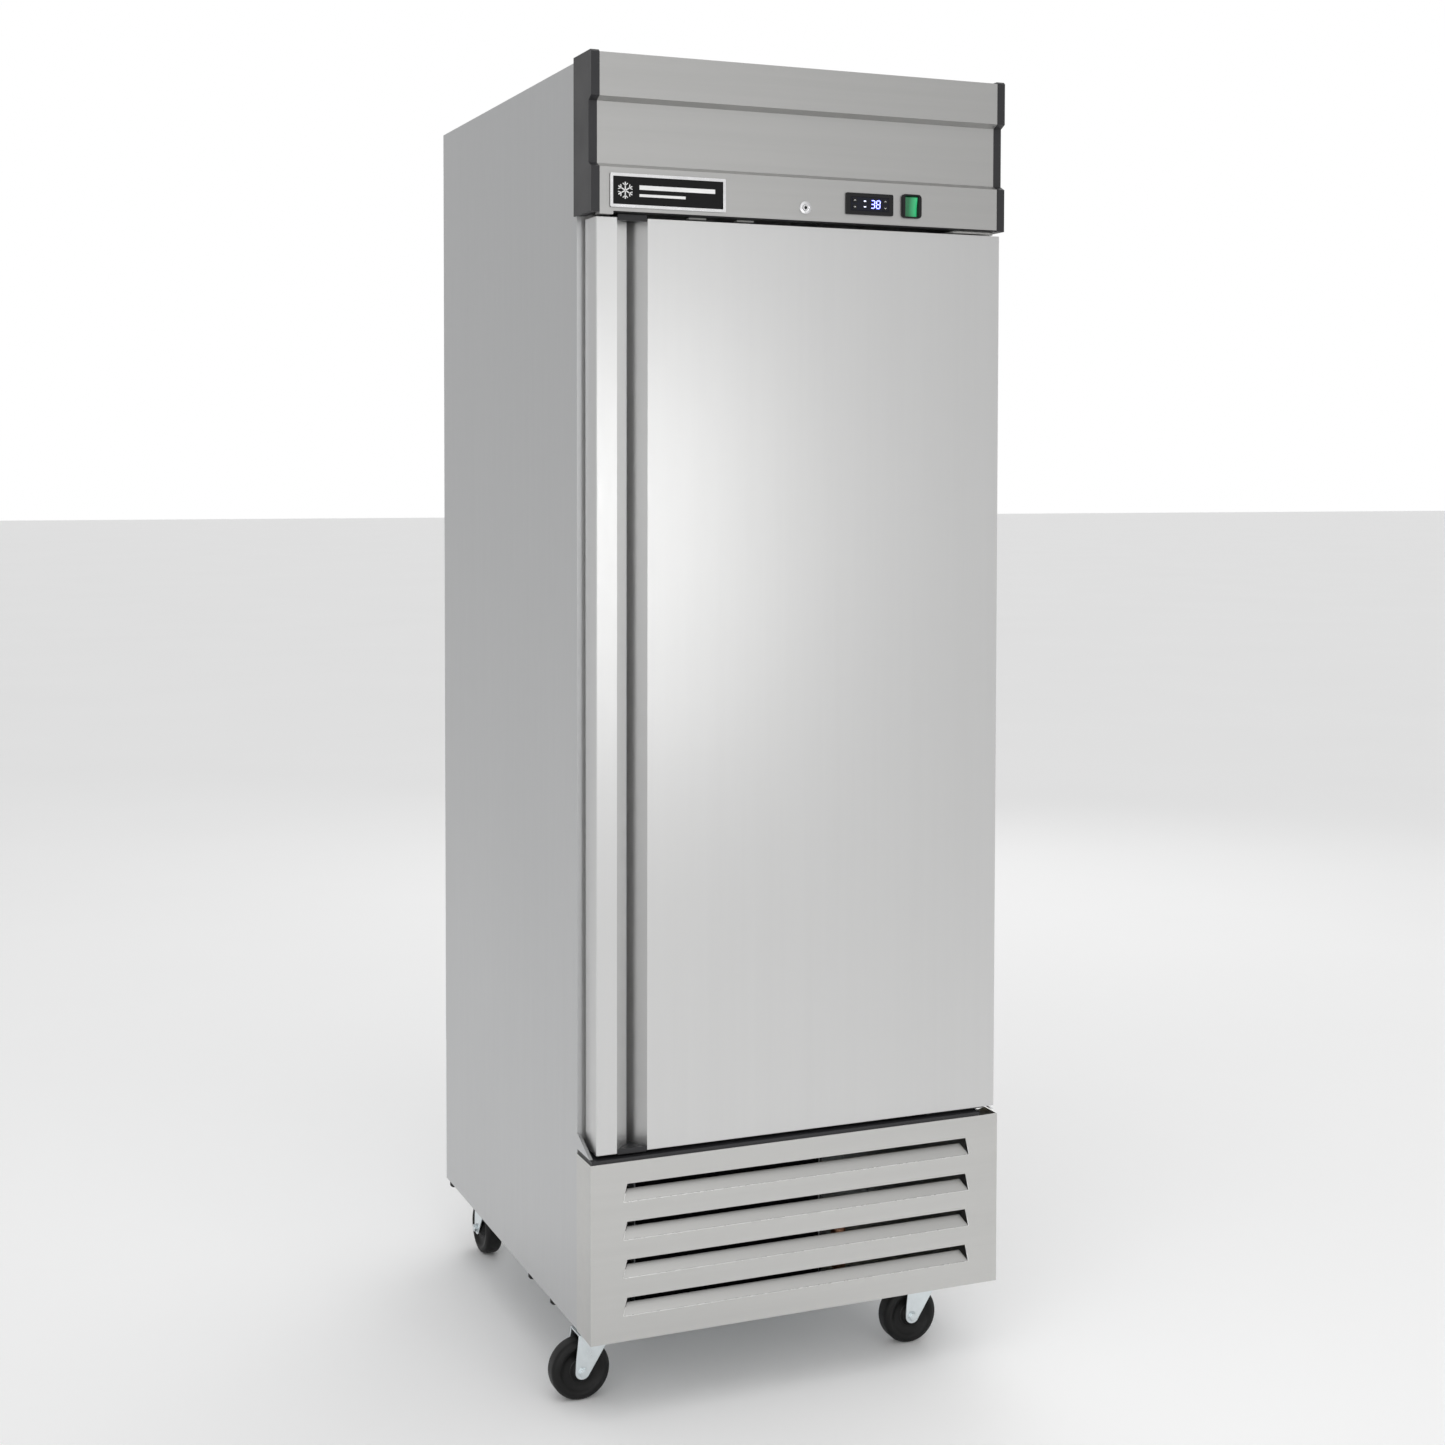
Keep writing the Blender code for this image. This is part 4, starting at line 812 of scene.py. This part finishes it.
def compressor():
    low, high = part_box("compressor")
    centre = (low + high) / 2
    floor = low.z
    bm = bmesh.new()
    radius = 0.076
    lower = [(0.030, 0.018)] + arc((radius - 0.030, 0.048), 0.030, -80, 0, 8)
    seam = [(radius, 0.098), (radius + 0.0018, 0.0990), (radius + 0.0018, 0.1030), (radius, 0.1045)]
    upper = arc((radius - 0.042, 0.142), 0.042, 0, 84, 10)
    profile = lower + seam + upper
    add_lathe(bm, profile, Matrix.Translation((centre.x, centre.y, floor)), 72)
    obj = smooth(mesh_object("compressor_shell", bm), 40)
    finish_piece(obj, "root", "compressor", ["compressor"])
    bm = bmesh.new()
    add_prism(bm, round_rect((centre.x, centre.y), (0.150, 0.150), 0.02), floor + 0.0150, floor + 0.0185)
    add_box(bm, (centre.x - 0.024, centre.y - 0.088 + 0.010, floor + 0.055),
            (centre.x + 0.024, centre.y - 0.060, floor + 0.110))
    obj = bevel(mesh_object("compressor_tray_and_terminal_box", bm), 0.0015)
    finish_piece(obj, "root", "black")
    grommet = [(0.010, 0.0002), (0.012, 0.004), (0.008, 0.008), (0.012, 0.013), (0.010, 0.0148)]
    bm = bmesh.new()
    for sx in (-1, 1):
        for sy in (-1, 1):
            at = Matrix.Translation((centre.x + sx * 0.062, centre.y + sy * 0.062, floor))
            add_lathe(bm, grommet, at, 24)
    obj = smooth(mesh_object("compressor_mounts", bm), 50)
    finish_piece(obj, "root", "gasket")


def pipes():
    """Copper lines from the compressor to the condenser, and up towards the evaporator."""
    centre = middle("compressor")
    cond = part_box("condenser")
    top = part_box("compressor")[1].z - 0.022
    cabinet_floor = 0.384
    suction = [
        (centre.x + 0.030, centre.y + 0.020, top - 0.010),
        (centre.x + 0.032, centre.y + 0.020, top + 0.015),
        (centre.x + 0.060, centre.y + 0.060, top + 0.022),
        (centre.x + 0.075, centre.y + 0.120, top + 0.024),
        (centre.x + 0.075, centre.y + 0.150, top + 0.040),
        (centre.x + 0.075, centre.y + 0.152, cabinet_floor),
    ]
    discharge = [
        (centre.x - 0.035, centre.y - 0.020, top - 0.010),
        (centre.x - 0.037, centre.y - 0.022, top + 0.012),
        (centre.x - 0.060, centre.y - 0.080, top + 0.016),
        (centre.x - 0.075, centre.y - 0.200, top + 0.010),
        (cond[1].x + 0.020, cond[0].y + 0.120, top + 0.004),
        (cond[1].x + 0.010, cond[0].y + 0.030, 0.330),
        (cond[1].x - 0.004, cond[0].y + 0.024, 0.322),
    ]
    runs = [(rounded_route([Vector(p) for p in line]), False) for line in (suction, discharge)]
    finish_piece(wires("refrigerant_lines", runs, 0.0035, 4), "root", "copper")
    bm = bmesh.new()
    at = facing((cond[1].x + 0.055, cond[0].y + 0.060, 0.136), (0, 0, 1))
    add_lathe(bm, [(0.004, 0.0), (0.012, 0.010), (0.012, 0.085), (0.004, 0.097)], at, 32)
    obj = smooth(mesh_object("filter_drier", bm), 40)
    finish_piece(obj, "root", "copper")


def rounded_route(points, steps=8):
    """A smooth route through points, as a Catmull-Rom curve."""
    route = []
    for i in range(len(points) - 1):
        p0 = points[max(i - 1, 0)]
        p1, p2 = points[i], points[i + 1]
        p3 = points[min(i + 2, len(points) - 1)]
        for k in range(steps):
            t = k / steps
            route.append(0.5 * (2 * p1 + (p2 - p0) * t + (2 * p0 - 5 * p1 + 4 * p2 - p3) * t * t
                                + (3 * p1 - p0 - 3 * p2 + p3) * t ** 3))
    route.append(points[-1])
    return route


def condenser():
    low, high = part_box("condenser")
    fins_low = Vector((low.x, low.y + 0.0005, CONDENSER_FLOOR))
    fins_high = Vector((high.x, low.y + 0.045, high.z))
    # The condenser's fins and tubes take the compressor's near-black paint: painted shade for the dark inside
    # behind the grille's louvers.
    fin_pack("condenser", "condenser", fins_low, fins_high, 66, 8, ("compressor", "compressor"))
    centre = Vector(joints["condenser_fan_spin"]["pos_m"])
    front, back = low.y + 0.049, high.y
    bm = bmesh.new()
    outer = [(low.x, CONDENSER_FLOOR), (high.x, CONDENSER_FLOOR), (high.x, high.z), (low.x, high.z)]
    for a, b in zip(outer, outer[1:] + outer[:1]):
        side_wall(bm, a, b, front, back, centre)
    hole = arc((centre.x, centre.z), SHROUD_HOLE, 0, 360, 64)[:-1]
    rim = box_ring(outer, hole)
    ring(bm, rim, hole, back - SHROUD_SHEET, back)
    finish_piece(mesh_object("condenser_shroud", bm), "root", "galvanised")
    bm = bmesh.new()
    add_box(bm, (low.x, low.y + 0.010, low.z), (high.x, back, CONDENSER_FLOOR - 0.0005))
    finish_piece(bevel(mesh_object("condenser_foot", bm), 0.0008), "root", "galvanised")
    guard("condenser_fan_guard", centre + Vector((0, back - centre.y + 0.003, 0)), (0, 1, 0), 0.096)


def side_wall(bm, a, b, front, back, centre):
    """One wall of the shroud between two corners."""
    inner = [(x + math.copysign(SHROUD_SHEET, centre.x - x), z + math.copysign(SHROUD_SHEET, centre.z - z))
             for x, z in (a, b)]
    points = [a, b, inner[1], inner[0]]
    v = [bm.verts.new((x, y, z)) for y in (front, back - 0.0013) for x, z in points]
    for face in BAR_FACES:
        bm.faces.new([v[i] for i in face])


def box_ring(corners, hole):
    """The points where rays from the hole's middle through its points meet the box."""
    cx = sum(p[0] for p in hole) / len(hole)
    cz = sum(p[1] for p in hole) / len(hole)
    x0, x1 = min(p[0] for p in corners), max(p[0] for p in corners)
    z0, z1 = min(p[1] for p in corners), max(p[1] for p in corners)
    rim = []
    for x, z in hole:
        dx, dz = x - cx, z - cz
        reach = []
        if abs(dx) > 1e-9:
            reach.append(((x1 if dx > 0 else x0) - cx) / dx)
        if abs(dz) > 1e-9:
            reach.append(((z1 if dz > 0 else z0) - cz) / dz)
        t = min(reach)
        rim.append((cx + dx * t, cz + dz * t))
    return rim


def evaporator():
    low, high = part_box("evaporator_coil")
    fin_pack("evaporator", "evaporator_coil", low, high, 70, 6)
    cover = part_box("evaporator_cover")
    centre = Vector(joints["evaporator_fan_spin"]["pos_m"])
    guard("evaporator_fan_guard", Vector((centre.x, centre.y, cover[0].z - 0.0020)), (0, 0, 1), 0.103)
    screws = [(cover[0].x + 0.02, cover[0].y - 0.0001, z) for z in (1.80, 1.95)]
    screws += [(cover[1].x - 0.02, cover[0].y - 0.0001, z) for z in (1.80, 1.95)]
    screw_set("evaporator_cover_screws", screws, (0, -1, 0), 0.0042)


def screw_set(name, places, axis, radius, body="root", material="zinc"):
    """Pan-head screws with a cross recess."""
    bm = bmesh.new()
    for place in places:
        at = facing(place, axis)
        dome = [(radius, 0.0), (radius, radius * 0.18)]
        dome += [(radius * math.cos(a), radius * 0.18 + radius * 0.42 * math.sin(a))
                 for a in (math.radians(d) for d in (22, 45, 66))]
        add_lathe(bm, dome + [(radius * 0.12, radius * 0.60)], at, 24)
    obj = smooth(mesh_object(name, bm), 45)
    finish_piece(obj, body, material)
    # A near-black cross standing on each head: painted shade for the cross recess, which is not cut.
    bm = bmesh.new()
    for place in places:
        at = facing(place, axis)
        for turn in (0, math.pi / 2):
            spin = at @ Matrix.Rotation(turn, 4, "Z")
            outline = [(-radius * 0.55, -radius * 0.11), (radius * 0.55, -radius * 0.11),
                       (radius * 0.55, radius * 0.11), (-radius * 0.55, radius * 0.11)]
            add_prism(bm, outline, radius * 0.50, radius * 0.63, spin)
    finish_piece(mesh_object(name + "_recess", bm), body, "painted_hole_shade")


def cabinet_screws():
    panel_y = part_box("cabinet_back")[1].y - 0.0040
    places = [(sx * 0.335, panel_y, z) for sx in (-1, 1) for z in (0.40, 0.80, 1.22, 1.64, 2.04)]
    places += [(x, panel_y, 2.045) for x in (-0.17, 0.0, 0.17)]
    screw_set("back_screws", places, (0, 1, 0), 0.0045)
    cover_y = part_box("rear_cover")[1].y
    places = [(sx * 0.33, cover_y, z) for sx in (-1, 1, 0) for z in (0.150, 0.365)]
    screw_set("rear_cover_screws", places, (0, 1, 0), 0.0045)
    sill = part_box("threshold_trim")
    screw_set("sill_screws", [(sill[0].x + 0.010, sill[1].y - 0.012, sill[1].z)], (0, 0, 1), 0.0036)
    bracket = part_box("bottom_hinge_bracket")
    head = [(0.0055, 0.0001), (0.0055, 0.0010), (0.0040, 0.0014)]
    bm = bmesh.new()
    for along in (0.020, 0.055):
        at = Matrix.Translation((bracket[0].x + along, bracket[0].y + 0.030, sill[1].z + 0.0033))
        add_lathe(bm, head, at, 24)
    finish_piece(smooth(mesh_object("lower_hinge_screws", bm)), "root", "zinc")


def base_lumps():
    """Rubber-capped bolts that hang under the base's long edges."""
    low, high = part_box("base_frame")
    profile = [(0.0040, 0.0), (0.0040, -0.0060), (0.0075, -0.0075), (0.0075, -0.0130), (0.0050, -0.0160)]
    bm = bmesh.new()
    for side in (-1, 1):
        for y in (low.y + 0.212, low.y + 0.329, high.y - 0.012):
            at = Matrix.Translation((side * 0.3375, y, low.z))
            add_lathe(bm, profile, at, 24)
    finish_piece(smooth(mesh_object("base_rivets", bm)), "root", "black")


def louver_creases():
    """Round beads along the bottom and the ends of each louver, where the sheet is pressed; their bright
    metal is a painted highlight on the bends.
    """
    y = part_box("front_grille")[0].y - 0.0006
    half = LOUVER_HALF_WIDTH
    runs = []
    for row in range(LOUVERS):
        bottom = LOUVER_TOP - row * LOUVER_PITCH - LOUVER_HEIGHT
        runs.append(([(-half, y, bottom), (half, y, bottom)], False))
        for side in (-1, 1):
            foot, tip = side * (half + 0.0003), side * (half - 0.0025)
            runs.append(([(foot, y, bottom), (tip, y, bottom + 0.0140)], False))
    finish_piece(wires("louver_creases", runs, 0.0007, 2), "root", "crease_highlight")


def gasket_profile():
    """Magnetic door gasket with a bellows, mitred at its corners."""
    low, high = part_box("door_gasket")
    width = 0.014
    depth = high.y - low.y
    section = [(0.0, 0.0), (width, 0.0), (width, 0.24), (0.80 * width, 0.30), (0.95 * width, 0.42),
               (0.80 * width, 0.54), (width, 0.62), (width, 0.96), (0.5 * width, 1.0), (0.0, 0.96),
               (0.0, 0.62), (0.20 * width, 0.54), (0.05 * width, 0.42), (0.20 * width, 0.30), (0.0, 0.24)]
    corners = [(low.x, low.z, 1, 1), (high.x, low.z, -1, 1), (high.x, high.z, -1, -1), (low.x, high.z, 1, -1)]
    bm = bmesh.new()
    loops = []
    for x, z, sx, sz in corners:
        loops.append([bm.verts.new((x + sx * a, low.y + b * depth, z + sz * a)) for a, b in section])
    n = len(section)
    for k in range(4):
        first, second = loops[k], loops[(k + 1) % 4]
        for i in range(n):
            j = (i + 1) % n
            bm.faces.new((first[i], first[j], second[j], second[i]))
    finish_piece(mesh_object("gasket_bellows", bm), "door", "gasket", ["door_gasket"])


def lamp():
    low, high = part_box("interior_lamp")
    bm = bmesh.new()
    for x in (low.x - 0.004, high.x + 0.004):
        add_box(bm, (x - 0.006, low.y - 0.001, low.z - 0.0005), (x + 0.006, high.y + 0.001, high.z))
    finish_piece(bevel(mesh_object("lamp_holders", bm), 0.001), "root", "pale_plastic")


# Stage, lights and camera

def stage():
    bm = bmesh.new()
    corners = ((-1, -1), (1, -1), (1, 1), (-1, 1))
    bm.faces.new([bm.verts.new((x * FLOOR_SIZE, y * FLOOR_SIZE, 0)) for x, y in corners])
    floor = mesh_object("floor", bm)
    material, tree, shader = plain("floor_paint")
    tint = mixed(tree, noise(tree, 0.8), (0.91, 0.91, 0.91), (0.94, 0.94, 0.94))
    tree.links.new(tint, shader.inputs["Base Color"])
    shader.inputs["Roughness"].default_value = 0.75
    floor.data.materials.append(material)


def light(name, place, target, size, power):
    lamp_data = bpy.data.lights.new(name, "AREA")
    lamp_data.shape = "RECTANGLE"
    lamp_data.size, lamp_data.size_y = size
    lamp_data.energy = power
    obj = bpy.data.objects.new(name, lamp_data)
    bpy.context.scene.collection.objects.link(obj)
    obj.location = place
    aim = Vector(target) - Vector(place)
    obj.rotation_euler = aim.to_track_quat("-Z", "Y").to_euler()
    obj.visible_camera = False


def studio(tree):
    place = add(tree, "ShaderNodeTexCoord")
    split = add(tree, "ShaderNodeSeparateXYZ")
    tree.links.new(place.outputs["Generated"], split.inputs[0])
    compass = add(tree, "ShaderNodeMath", operation="ARCTAN2")
    tree.links.new(split.outputs["X"], compass.inputs[0])
    tree.links.new(split.outputs["Y"], compass.inputs[1])
    turn = ranged(tree, compass.outputs[0], 0, 1, -math.pi, math.pi)
    ramp = add(tree, "ShaderNodeValToRGB")
    stops = ramp.color_ramp.elements
    for index, (angle, level) in enumerate(ROOM):
        at = (angle + 180) / 360
        stop = stops[index] if index < 2 else stops.new(at)
        stop.position = at
        stop.color = (level, level, level, 1)
    tree.links.new(turn, ramp.inputs[0])
    background = tree.nodes["Background"]
    tree.links.new(ramp.outputs["Color"], background.inputs["Color"])
    background.inputs["Strength"].default_value = 1.0


def lights():
    world = bpy.data.worlds.new("studio")
    bpy.context.scene.world = world
    world.use_nodes = True
    studio(world.node_tree)
    light("softbox_door", (0.70, -3.40, 1.26), (-0.30, -0.40, 1.28), (0.36, 1.10), 4.3)
    light("key_left", (-2.8, -3.8, 1.7), (-0.3, -0.4, 1.2), (2.8, 2.6), 28)
    light("fill_rear", (2.5, 3.8, 3.0), (0, 0, 1.1), (2.4, 2.4), 25)
    light("floor_wash", (-0.6, -2.0, 4.2), (-0.4, -1.6, 0), (3.0, 3.0), 25)


def camera():
    data = bpy.data.cameras.new("camera")
    data.lens = CAMERA_LENS
    data.sensor_width = 36.0
    data.shift_y = CAMERA_SHIFT_Y
    obj = bpy.data.objects.new("camera", data)
    bpy.context.scene.collection.objects.link(obj)
    yaw, pitch, roll = (math.radians(a) for a in CAMERA_TURN)
    aim = Matrix.Rotation(-yaw, 4, "Z") @ Matrix.Rotation(math.pi / 2 - pitch, 4, "X")
    obj.matrix_world = Matrix.Translation(CAMERA_PLACE) @ aim @ Matrix.Rotation(roll, 4, "Z")
    bpy.context.scene.camera = obj


def main():
    dress_cad()
    for place in PLACES:
        caster(place)
    badge()
    controller()
    rocker_marks()
    lock_face()
    for name in SHELVES:
        shelf(name)
    pilaster_strips()
    evaporator()
    fan("evaporator_blades", "evaporator_fan", "evaporator_fan", (0, 0, 1), 0.098, 0.026, 0.022, 5)
    fan("condenser_blades", "condenser_fan", "condenser_fan", (0, 1, 0), 0.090, 0.024, 0.020, 5)
    condenser()
    compressor()
    pipes()
    cabinet_screws()
    base_lumps()
    louver_creases()
    gasket_profile()
    lamp()
    stage()
    lights()
    camera()
    bpy.context.scene.view_settings.view_transform = "Standard"


main()
